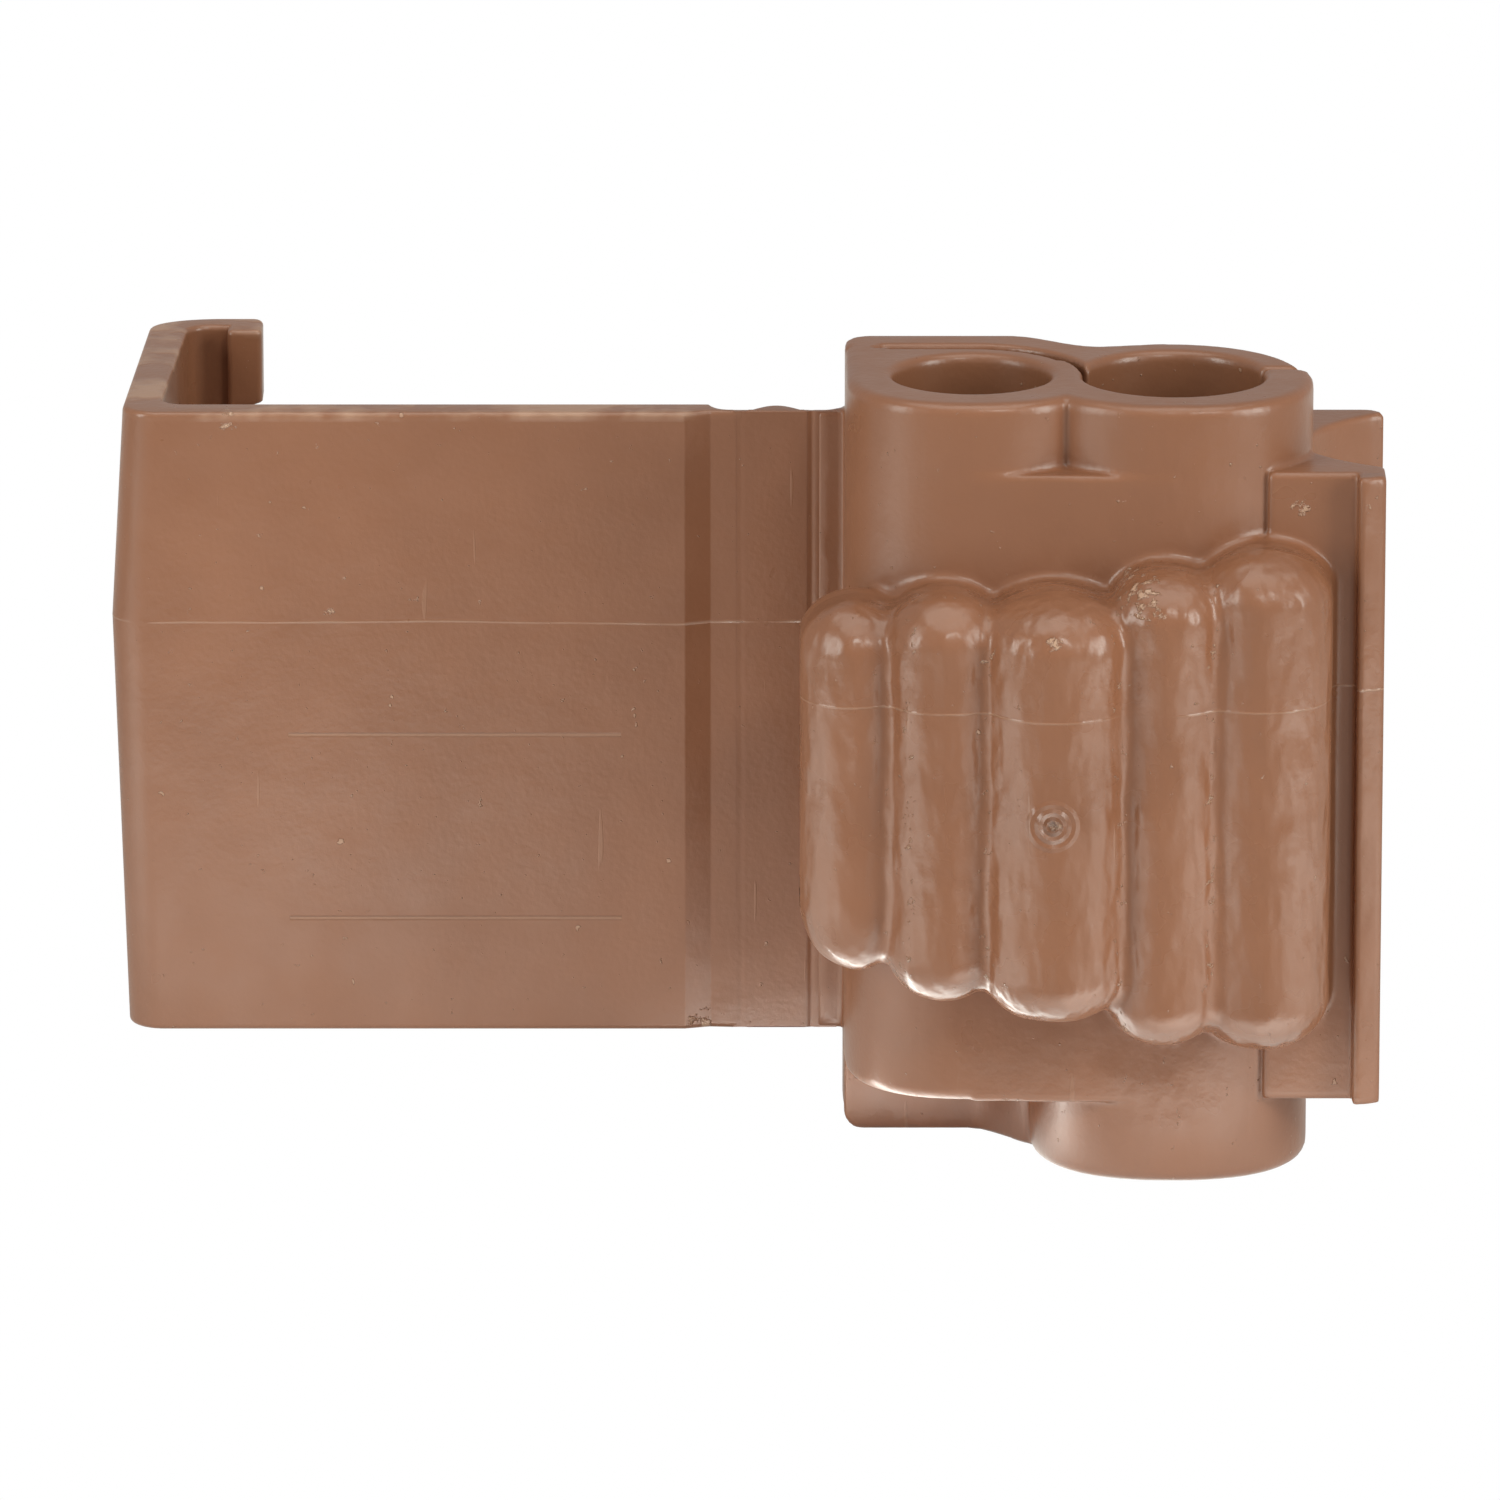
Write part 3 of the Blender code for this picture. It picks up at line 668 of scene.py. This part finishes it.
def housing_shape(field):
    """The whole housing as distances: tubes, sheet, web, jaws and ribs, less bores, slits and well."""
    x, y, z = field.x, field.y, field.z
    run = path(bow((RUN_X, PORT_Y), RUN_HALF, RUN_FRONT, SQUARENESS, 180, 360, 60),
               (RIGHT - 0.1, ENTRY), bow((RUN_X, PORT_Y), ARM_HALF, RUN_BACK, 2, 10, 170, 48))
    tap = path(bow((TAP_X, PORT_Y), TAP_HALF, TAP_FRONT, SQUARENESS, 180, 360, 60),
               bow((TAP_X, PORT_Y), TAP_BACK, TAP_BACK, 2, 0, 90, 24),
               (LEFT + SLIT_ROOT + SLIT, SLIT_FRONT), (LEFT + SLIT_ROOT, 0), (LEFT, 0))
    corner = arc((LEFT + 0.8, SHEET_BACK - 0.8), 0.8, 180, 90, 10)
    step = ease((TAP_X + TAP_BORE / 2, SHEET_BACK), (RUN_X - RUN_HALF / 2, RUN_BACK + PORT_Y - 0.4), 20)
    sheet = path(corner, step, (RUN_X, RUN_BACK + PORT_Y), (RUN_X, RUN_BORE + PORT_Y), guard_path()[::-1],
                 (LEFT, SLIT_FRONT + SLIT / 2))
    web = path((TAP_X, PORT_Y), (TAP_X, PORT_Y - TAP_FRONT), (RUN_X, PORT_Y - RUN_FRONT), (RUN_X, PORT_Y))
    tubes = np.minimum(field.prism(run, 0, TUBE_TOP, 0.33), field.prism(tap, BOTTOM, TUBE_TOP, 0.33))
    groove = 0.02 + 0.1 * smooth((z - TOP + 1.2) / 1.0)
    shape = join_even(tubes, field.prism(web, BOTTOM, TOP, 0.1), groove)
    shape = np.minimum(shape, field.prism(sheet, 0, TUBE_TOP, 0.2))
    shape = join(shape, foot(field), 0.12)
    shape = join(shape, field.prism(front_jaw(), BOTTOM, TOP, 0.1), 0.12)
    shape = np.minimum(shape, field.prism(back_jaw(), BOTTOM, TOP, 0.12))
    shape = np.minimum(shape, field.prism(hinge_tab(), BOTTOM, TOP, 0.06))
    shape = join(shape, ribs(field), 0.3)
    cavity = well(field)
    slit = field.outline(strip(guard_path(), SLIT)) + 0 * z
    mouth = np.array([[RUN_X + RUN_BORE / 1.5, ENTRY], [RIGHT + ENTRY_GAP, ENTRY]])
    entry = field.outline(strip(mouth, ENTRY_GAP))
    shape = cut(shape, field.bore(TAP_X, TAP_BORE, TAP_FLOOR, 30), 0.25)
    shape = cut(shape, field.bore(RUN_X, RUN_BORE, -5, 30), 0.25)
    shape = cut(shape, slit, 0.08)
    shape = cut(shape, entry + 0 * z, 0.06)
    return cut(shape, cavity, 0.06).astype(np.float32)


def join_even(a, b, radius):
    """Two shapes together, with a fillet whose radius changes from place to place."""
    reach = np.maximum(radius - np.abs(a - b), 0)
    return np.minimum(a, b) - reach * reach / (4 * radius)


def foot(field):
    """The plate under the tap port, and the curve that leads from it into the run port."""
    right = RUN_X - RUN_HALF + 0.4
    start, end = (TAP_X, -PLATE_FRONT), (right, PORT_Y - 0.4)
    lead = path((LEFT, 0), (LEFT, -PLATE_FRONT), ease(start, end, 24),
                (right + 0.4, -PLATE_FRONT), (right, 0))
    plate = field.prism(lead, 0, BOTTOM + 0.4, 0.1)
    rounding = np.hypot(np.maximum(LEFT + 0.6 - field.x, 0), np.maximum(0.6 - field.z, 0)) - 0.6
    return np.maximum(plate, rounding)


def front_jaw():
    """The flange in front of the side entry, with the latch lip on its edge."""
    radius = LIP_WIDTH / 2
    left = LIP_RIGHT - LIP_WIDTH
    tip = (LIP_RIGHT - radius, JAW_Y + LIP_WIDTH * 1.3)
    slope = sweep((RIGHT, PORT_Y - RUN_BORE * 0.4), (RIGHT + 0.7, JAW_Y + 2 * LIP_WIDTH), tip, 16)
    edge = 0.14
    front = path(arc((left + edge, LIP_Y + edge), edge, 180, 275, 8),
                 arc((LIP_RIGHT - edge, LIP_Y + edge + 0.2), edge, 290, 360, 8))
    return path((RUN_X + RUN_BORE, JAW_Y), (left, JAW_Y), front,
                (LIP_RIGHT, tip[1] - LIP_WIDTH / 3), slope[::-1], (RIGHT - 0.75, PORT_Y - RUN_BORE / 2))


def back_jaw():
    """The end of the guard sheet behind the side entry, flared to lead the run wire in."""
    round_off = arc((JAW_RIGHT - 0.65, JAW_BACK - 0.65), 0.65, 0, 90, 12)
    tip = (JAW_RIGHT - 0.325, JAW_BACK - 0.65 - ENTRY_GAP / 2)
    slope = sweep((RIGHT, ENTRY + ENTRY_GAP), (RIGHT + 0.4, ENTRY / 2), tip, 16)
    return path((RIGHT - 0.75, ENTRY + ENTRY_GAP), slope, round_off, (RIGHT - 0.4, JAW_BACK),
                (RUN_X + RUN_HALF / 3, RUN_BACK + PORT_Y - 0.05))


def hinge_tab():
    """The housing's side of the hinge: a film that swells into the guard sheet."""
    half = FOLD_GAP / 2
    swell = sweep((half + FILM, FILM), (LEFT - FILM, FILM), (LEFT + FILM / 2, TAB_HUMP), 16)
    return path((half, 0), swell, (LEFT + 3 * FILM, SHEET_BACK - 0.05), (LEFT + 3 * FILM, 0))


def ribs(field):
    """Barrel ribs side by side: each a rounded bar with its own height, width and crest."""
    x, y, z = field.x, field.y, field.z
    shape = None
    for middle, radius, crest, low, high, lower, upper in RIBS:
        ahead = np.maximum(-(y + crest - radius), 0)
        lift = np.maximum(z - (high - upper), 0) / upper + np.maximum(low + lower - z, 0) / lower
        bar = np.sqrt((x - middle) ** 2 + ahead ** 2 + (lift * radius) ** 2) - radius
        bar = both(bar, y - RIB_BACK, 0.4)
        shape = bar if shape is None else join(shape, bar, 0.42)
    return shape + ripple(x, y, z)


def ripple(x, y, z):
    """Uneven swells a few hundredths deep, longer along Z, as shrinkage leaves them on thick ribs."""
    swell = np.sin(2.1 * x + 0.35 * z + 0.6) * np.sin(0.62 * z - 0.9 * x + 1.2)
    swell = swell + 0.8 * np.sin(3.4 * x - 0.5 * z + 2.0) * np.sin(1.15 * z + 0.7 * x)
    swell = swell + 0.5 * np.sin(1.3 * x + 1.9 * z) * np.sin(2.6 * x - 1.1 * z + 0.8)
    return (0.022 * swell * smooth((-y - 8.0) / 1.0)).astype(np.float32)


def well(field):
    """The room for the pressed contact, open at the back: two slots and the floor between them."""
    left, right = CONTACT_LEFT - CLEARANCE, CONTACT_RIGHT + CLEARANCE
    outer = PITCH / 2 + SHEET / 2 + CLEARANCE
    inner = PITCH / 2 - SHEET / 2 - CLEARANCE
    front = CONTACT_BACK - LEG - CLEARANCE
    floor = CONTACT_BACK - SHEET - CLEARANCE
    whole = field.block((left, front, CONTACT_Z - outer), (right, 3, CONTACT_Z + outer))
    tongue = field.block((left - 1, front - 1, CONTACT_Z - inner), (right + 1, floor, CONTACT_Z + inner))
    return cut(whole, tongue, 0.06)


def closed_to_cover(x, y):
    """A point of the closed latch, given on the housing, as a point of the open cover from its own fold."""
    return -WEB * math.cos(WEB_TURN) - x, WEB * math.sin(WEB_TURN) - y


def new_mesh(name, points, faces, normals=None):
    """A mesh object in metres, in the part's own frame."""
    mesh = bpy.data.meshes.new(name)
    place = ((points + ORIGIN) / 1000).astype(np.float32)
    mesh.vertices.add(len(place))
    mesh.vertices.foreach_set("co", place.ravel())
    lengths = np.full(len(faces), faces.shape[1])
    mesh.loops.add(int(lengths.sum()))
    mesh.loops.foreach_set("vertex_index", faces.ravel().astype(np.int32))
    mesh.polygons.add(len(faces))
    mesh.polygons.foreach_set("loop_start", (np.arange(len(faces)) * faces.shape[1]).astype(np.int32))
    mesh.update(calc_edges=True)
    mesh.validate()
    mesh.shade_smooth()
    if normals is not None:
        mesh.normals_split_custom_set_from_vertices(normals)
    item = bpy.data.objects.new(name, mesh)
    bpy.context.scene.collection.objects.link(item)
    return item


def thin_out(name, points, faces, limit):
    """Merges faces where the surface is flattest until few enough are left."""
    rough = new_mesh(name, points, faces)
    triangles = 2 * len(faces)
    if triangles > limit:
        step = rough.modifiers.new("thin out", "DECIMATE")
        step.ratio = limit / triangles
    bpy.context.view_layer.update()
    ready = rough.evaluated_get(bpy.context.evaluated_depsgraph_get())
    mesh = bpy.data.meshes.new_from_object(ready)
    bpy.data.objects.remove(rough)
    mesh.name = name
    item = bpy.data.objects.new(name, mesh)
    bpy.context.scene.collection.objects.link(item)
    return item


def make_housing():
    """The housing, from a surface through its distances, thinned out and set back on the true surface."""
    field = Field(GRID_LOW, GRID_HIGH, CELL)
    shape = housing_shape(field)
    points, faces = field.surface(shape)
    points, _ = field.settle(shape, points)
    item = thin_out("housing_shell", points, faces, FACE_LIMIT)
    mesh = item.data
    place = np.zeros(3 * len(mesh.vertices), np.float32)
    mesh.vertices.foreach_get("co", place)
    points, normals = field.settle(shape, place.reshape(-1, 3) * 1000 - ORIGIN)
    points[:, 2] = np.maximum(points[:, 2], 0)
    mesh.vertices.foreach_set("co", ((points + ORIGIN) / 1000).astype(np.float32).ravel())
    mesh.shade_smooth()
    mesh.normals_split_custom_set_from_vertices(normals)
    return item


def relief_ends():
    """The lowest and highest point of the hook's relief, where rib 5 reaches under the closed hook's tip."""
    middle, radius, _, low, high, low_end, high_end = RIBS[4]
    off = LIP_RIGHT - LIP_WIDTH - SIDE_CLEARANCE - HOOK_LIP_WIDTH - middle
    fall = 1 - math.sqrt(1 - (off / radius) ** 2)
    return low + low_end * fall - RIB_CLEARANCE, high - high_end * fall + RIB_CLEARANCE


def cover_ring(z):
    """The cover's section at a height: the wall leans out to the parting line, the hook clears rib 5."""
    draft = HOOK_DRAFT * (1 - abs(z - PARTING) / np.where(z > PARTING, TOP - PARTING, PARTING - BOTTOM))
    wall_tip, inner_back = closed_to_cover(LIP_RIGHT + SIDE_CLEARANCE, LIP_Y - FRONT_CLEARANCE)
    wall_root = wall_tip - HOOK_LEAN * (inner_back - INNER)
    outer_root = wall_root - HOOK_WALL - draft
    outer_tip = wall_tip - HOOK_WALL - draft
    outer_back = inner_back + HOOK_RETURN
    full = closed_to_cover(LIP_RIGHT - LIP_WIDTH - SIDE_CLEARANCE, 0)[0] + HOOK_LIP_WIDTH
    rib_right = RIBS[4][0] + RIBS[4][1]
    short = closed_to_cover(rib_right + RIB_CLEARANCE, 0)[0]
    low, high = relief_ends()
    room = smooth((z - low) / RELIEF_EASE) * smooth((high - z) / RELIEF_EASE)
    tip = full - (full - short) * room
    lip_left = full - HOOK_LIP_WIDTH
    near, far, wide, blunt = HOOK_INNER_CORNER, HOOK_BACK_CORNER, HOOK_BACK_SPREAD, HOOK_TIP_ROUND
    half = FOLD_GAP / 2
    edge = HOOK_LIP_ROUND
    front = np.linspace(-BAND - BAND_WIDTH, outer_root + HOOK_CORNER, 40)[1:-1]
    crisp = np.array([CRISP, CRISP * PROUD / BAND_WIDTH])
    band_top, band_foot = np.array([-BAND, 0]), np.array([-BAND - BAND_WIDTH, -PROUD])
    ring = path((-half, 0), (-BAND + crisp[0], 0), band_top, band_top - crisp,
                band_foot + crisp, band_foot, band_foot - (crisp[0], 0),
                np.column_stack([front, np.full(len(front), -PROUD)]),
                arc((outer_root + HOOK_CORNER, -PROUD + HOOK_CORNER), HOOK_CORNER, 270, 180, 16),
                bow((outer_tip + wide, outer_back - far), wide, far, 2, 180, 90, 20),
                arc((tip - blunt, outer_back - blunt), blunt, 90, 0, 6),
                arc((tip - edge, inner_back - HOOK_LIP + edge), edge, 0, -90, 4),
                arc((lip_left + edge, inner_back - HOOK_LIP + edge), edge, 270, 180, 4),
                (lip_left, inner_back),
                arc((wall_tip + near, inner_back - near), near, 90, 180, 10),
                arc((wall_root + near, INNER + near), near, 180, 270, 10),
                (-BAND - FILM, INNER),
                sweep((-BAND, INNER - 0.025), (-BAND + FILM, FILM), (-half - FILM, FILM), 10),
                (-half - FOLD_CHAMFER, FILM))
    return ring


def rounded_ends(low, high, edge, between):
    """Heights of the rings from end to end, and how far each ring near an end is drawn in."""
    angle = np.radians(np.linspace(0, 90, 6))
    rise, inset = edge * (1 - np.cos(angle)), edge * (1 - np.sin(angle))
    heights = np.concatenate([low + rise, between, high - rise[::-1]])
    insets = np.concatenate([inset, np.zeros(len(between)), inset[::-1]])
    return heights, insets


def draw_in(ring, distance):
    """A clockwise ring moved inwards along the mean of its two sides' normals."""
    ahead = np.roll(ring, -1, axis=0) - ring
    ahead /= np.maximum(np.linalg.norm(ahead, axis=1), 1e-9)[:, None]
    normal = np.column_stack([ahead[:, 1], -ahead[:, 0]])
    mean = normal + np.roll(normal, 1, axis=0)
    mean /= np.maximum((mean * mean).sum(1) / 2, 0.4)[:, None]
    return ring + distance * mean


def loft(name, rings, heights, order=(0, 1, 2)):
    """Skins a stack of rings with the same number of points and closes both ends."""
    layers, count = len(rings), len(rings[0])
    points = np.zeros((layers, count, 3))
    for layer, (ring, height) in enumerate(zip(rings, heights)):
        points[layer, :, :2] = ring
        points[layer, :, 2] = height
    points = points.reshape(-1, 3)[:, list(order)]
    i = np.arange(count)
    j = (i + 1) % count
    base = np.arange(layers - 1)[:, None] * count
    faces = np.stack([base + i, base + j, base + count + j, base + count + i], axis=-1).reshape(-1, 4)
    item = new_mesh(name, points, faces)
    close_ends(item.data, count, layers)
    return item


def close_ends(mesh, count, layers):
    """Fills the first and last ring and turns every face outwards."""
    shape = bmesh.new()
    shape.from_mesh(mesh)
    shape.verts.ensure_lookup_table()
    shape.faces.new([shape.verts[i] for i in range(count)][::-1])
    start = (layers - 1) * count
    shape.faces.new([shape.verts[start + i] for i in range(count)])
    shape.normal_update()
    bmesh.ops.triangulate(shape, faces=[face for face in shape.faces if len(face.verts) > 4])
    bmesh.ops.recalc_face_normals(shape, faces=shape.faces)
    shape.to_mesh(mesh)
    shape.free()
    mesh.shade_smooth()
    mesh.set_sharp_from_angle(angle=math.radians(40))


def make_cover():
    """The cover, a section that changes with height."""
    low, high = relief_ends()
    eased = [np.linspace(z, z + RELIEF_EASE, 7) for z in (low, high - RELIEF_EASE)]
    between = np.unique(np.concatenate([np.linspace(BOTTOM + 0.2, TOP - 0.2, 80), [PARTING], *eased]))
    heights, insets = rounded_ends(BOTTOM, TOP, COVER_ROUND, between)
    rings = []
    for z, inset in zip(heights, insets):
        ring = cover_ring(z)
        share = np.clip((-FOLD_GAP / 2 - ring[:, :1]) / 0.9, 0.4, 1)
        rings.append(draw_in(ring, inset * share) - (WEB, 0))
    return loft("cover_shell", rings, heights)


def make_web():
    """The strip between the two folds, a lens in section, thin at both films."""
    half = FOLD_GAP / 2
    t = np.linspace(0, 1, 25)
    near, far = -half - FILM, -WEB + half + FILM
    hump = np.column_stack([near + (far - near) * t, FILM + (WEB_HUMP - FILM) * np.sin(math.pi * t)])
    front = np.column_stack([np.linspace(-WEB + half, -half, 12), np.zeros(12)])
    ring = path((-half - FOLD_CHAMFER, FILM), hump, (-WEB + half + FOLD_CHAMFER, FILM), front)[::-1]
    heights, insets = rounded_ends(BOTTOM, TOP, WEB_ROUND, np.linspace(BOTTOM + 0.1, TOP - 0.1, 30))
    return loft("web_strip", [draw_in(ring, inset) for inset in insets], heights)


def make_film(name, middle, run_on, crease):
    """A living hinge: the thin film across a fold. It runs on to the right, where it swells into the tab."""
    reach = FOLD_GAP / 2 + FOLD_CHAMFER + 0.03
    across = np.concatenate([np.linspace(-reach, reach, 13), np.linspace(reach, run_on, 11)[1:]])
    dip = crease * np.exp(-(across / 0.08) ** 2)
    swell = TAB_SWELL * np.maximum(across - FOLD_GAP / 2 - FILM, 0) ** 2
    outer = np.column_stack([middle + across, 0.008 + dip])
    inner = np.column_stack([middle + across, FILM - 0.008 - dip + swell])
    ring = path(outer, inner[::-1])
    heights = np.linspace(BOTTOM + 0.02, TOP - 0.02, 24)
    return loft(name, [ring] * len(heights), heights)


def leg_end(x):
    """How far the contact's legs reach at x: their full length, or only to the bottom of a wire slot."""
    end = -LEG
    for middle, width in SLOTS:
        off = abs(x - middle)
        if off < width / 2:
            end = -SLOT_ROOT - width / 2 + math.sqrt(width ** 2 / 4 - off ** 2)
        elif off < width / 2 + MOUTH:
            end = -LEG + MOUTH_DEPTH * (1 - (off - width / 2) / MOUTH)
    return end


def contact_ring(x):
    """The contact's section at x: a U of bent strip whose legs end where the slots let them."""
    end = leg_end(x)
    outer, inner = PITCH / 2 + SHEET / 2, PITCH / 2 - SHEET / 2
    inside = BEND - SHEET
    edge = 0.06
    return path((end, outer - edge), (end + edge, outer), arc((-BEND, outer - BEND), BEND, 90, 0, 12),
                arc((-BEND, -outer + BEND), BEND, 0, -90, 12), (end + edge, -outer), (end, -outer + edge),
                (end, -inner - edge), (end + edge, -inner),
                arc((-SHEET - inside, -inner + inside), inside, -90, 0, 6),
                arc((-SHEET - inside, inner - inside), inside, 0, 90, 6),
                (end + edge, inner), (end, inner + edge))


def make_contact():
    """The U-contact, a section carried along X, standing lifted out of its well."""
    stations = [np.linspace(CONTACT_LEFT + 0.1, CONTACT_RIGHT - 0.1, 40)]
    for middle, width in SLOTS:
        half = width / 2
        stations.append(middle + half * np.sin(np.linspace(-math.pi / 2, math.pi / 2, 21)) * 0.999)
        stations.append([middle - half - 0.001, middle + half + 0.001])
        stations.append([middle - half - MOUTH, middle + half + MOUTH])
    between = np.unique(np.concatenate(stations))
    places, insets = rounded_ends(CONTACT_LEFT, CONTACT_RIGHT, CONTACT_ROUND, between)
    rings = [draw_in(contact_ring(x), inset) + (CONTACT_BACK + CONTACT_TRAVEL, CONTACT_Z)
             for x, inset in zip(places, insets)]
    return loft("contact_strip", rings, places, order=(2, 0, 1))


def area_light(name, place, size, power):
    """A softbox that faces the connector's middle."""
    lamp = bpy.data.lights.new(name, "AREA")
    lamp.shape = "RECTANGLE"
    lamp.size, lamp.size_y = size
    lamp.energy = power
    lamp.color = LIGHT_TINT
    item = bpy.data.objects.new(name, lamp)
    item.location = place
    item.rotation_euler = (Vector(LIGHT_TARGET) - Vector(place)).to_track_quat("-Z", "Y").to_euler()
    bpy.context.scene.collection.objects.link(item)


def seen_and_unseen(tree, seen, reflected, rest):
    """One shader for what the camera sees, one for what glossy surfaces see, one for all other light."""
    rays = add(tree, "ShaderNodeLightPath")
    shiny = add(tree, "ShaderNodeMixShader")
    tree.links.new(rays.outputs["Is Glossy Ray"], shiny.inputs["Fac"])
    tree.links.new(rest, shiny.inputs[1])
    tree.links.new(reflected, shiny.inputs[2])
    choose = add(tree, "ShaderNodeMixShader")
    tree.links.new(rays.outputs["Is Camera Ray"], choose.inputs["Fac"])
    tree.links.new(shiny.outputs["Shader"], choose.inputs[1])
    tree.links.new(seen, choose.inputs[2])
    return choose.outputs["Shader"]


def table_look():
    """A white light table: pale to the eye, and brighter where the plastic mirrors it."""
    material, tree, shader = principled("white light table", TABLE_WHITE, 0.9)
    shader.inputs["Specular IOR Level"].default_value = 0.1
    place = add(tree, "ShaderNodeTexCoord").outputs["Object"]
    tree.links.new(bump(tree, noise(tree, place, 900, 2, 0.5), 0.05, 0.0001), shader.inputs["Normal"])
    shader.inputs["Emission Color"].default_value = colour("#ffffff")
    shader.inputs["Emission Strength"].default_value = FLOOR_GLOW
    glow = add(tree, "ShaderNodeEmission")
    glow.inputs["Color"].default_value = (*LIGHT_TINT, 1)
    light = MIRRORED_FRONT
    for middle, reach, strength in MIRRORED_PATCHES:
        light = plus(tree, patch(tree, place, middle, reach, strength), light)
    tree.links.new(light, glow.inputs["Strength"])
    plain = add(tree, "ShaderNodeEmission")
    out = seen_and_unseen(tree, plain.outputs["Emission"], glow.outputs["Emission"], shader.outputs["BSDF"])
    tree.links.new(out, tree.nodes["Material Output"].inputs["Surface"])
    return material


def patch(tree, place, middle, reach, strength):
    """A soft oval of light on the table, at its strongest in the middle."""
    shift = add(tree, "ShaderNodeMapping", vector_type="TEXTURE")
    shift.inputs["Location"].default_value = (middle[0] / 1000, middle[1] / 1000, 0)
    shift.inputs["Scale"].default_value = (reach[0] / 1000, reach[1] / 1000, 1)
    tree.links.new(place, shift.inputs["Vector"])
    away = add(tree, "ShaderNodeVectorMath", operation="DOT_PRODUCT")
    tree.links.new(shift.outputs["Vector"], away.inputs[0])
    tree.links.new(shift.outputs["Vector"], away.inputs[1])
    fall = math_node(tree, "EXPONENT", times(tree, away.outputs["Value"], -1.0))
    return times(tree, fall, strength)


def surround():
    """A white room: plain white behind the object, and dimmer as a source of light."""
    world = bpy.data.worlds.new("white surround")
    bpy.context.scene.world = world
    world.use_nodes = True
    tree = world.node_tree
    rest = tree.nodes["Background"]
    rest.inputs["Color"].default_value = (1, 1, 1, 1)
    rest.inputs["Strength"].default_value = ROOM
    backdrop = add(tree, "ShaderNodeBackground")
    backdrop.inputs["Strength"].default_value = 1.0
    mirrored = add(tree, "ShaderNodeBackground")
    mirrored.inputs["Strength"].default_value = ROOM_MIRRORED
    out = seen_and_unseen(tree, *(node.outputs["Background"] for node in (backdrop, mirrored, rest)))
    tree.links.new(out, tree.nodes["World Output"].inputs["Surface"])


def studio():
    """A pale floor, a white surround and soft light from both sides, from above and from over the camera."""
    mesh = bpy.data.meshes.new("floor")
    angle = np.linspace(0, 2 * math.pi, FLOOR_SIDES + 1)[:-1]
    rim = [(FLOOR_RADIUS * math.cos(a), FLOOR_RADIUS * math.sin(a), 0) for a in angle]
    mesh.from_pydata(rim, [], [range(FLOOR_SIDES)])
    floor = bpy.data.objects.new("floor", mesh)
    bpy.context.scene.collection.objects.link(floor)
    mesh.materials.append(table_look())
    surround()
    for name, place, size, power in SOFTBOXES:
        area_light(name, place, size, power)


def photograph_camera():
    """The photograph's view: a long lens, a little above the connector."""
    lift = math.radians(CAMERA_LIFT)
    target = Vector(CAMERA_TARGET)
    camera = bpy.data.cameras.new("camera")
    camera.lens = CAMERA_LENS
    camera.sensor_width = CAMERA_SENSOR
    camera.clip_start = 0.01
    camera.clip_end = 20
    item = bpy.data.objects.new("camera", camera)
    item.location = target + CAMERA_AWAY * Vector((0, -math.cos(lift), math.sin(lift)))
    item.rotation_euler = (target - item.location).to_track_quat("-Z", "Y").to_euler()
    bpy.context.scene.collection.objects.link(item)
    bpy.context.scene.camera = item


bpy.context.scene.view_settings.view_transform = "Standard"
brown = plastic_look()
tinned = tin_look()
pieces = (
    (make_housing(), "housing", "housing", brown, "brown_polypropylene"),
    (make_cover(), "cover", "cover", brown, "brown_polypropylene"),
    (make_web(), "hinge_web", "hinge_web", brown, "brown_polypropylene"),
    (make_contact(), "u_contact", "u_contact", tinned, "tinned_brass"),
)
for piece, node, body, material, finish in pieces:
    piece.data.materials.append(material)
    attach(piece, body)
    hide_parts(node)

folds = (("housing_film", 0.0, 0.8, 0.03, "housing", "hinge_web"),
         ("cover_film", -WEB, 0.25, 0.005, "hinge_web", "cover"))
for name, middle, run_on, crease, first, second in folds:
    film = make_film(name, middle, run_on, crease)
    film.data.materials.append(brown)
    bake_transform(film)

studio()
photograph_camera()
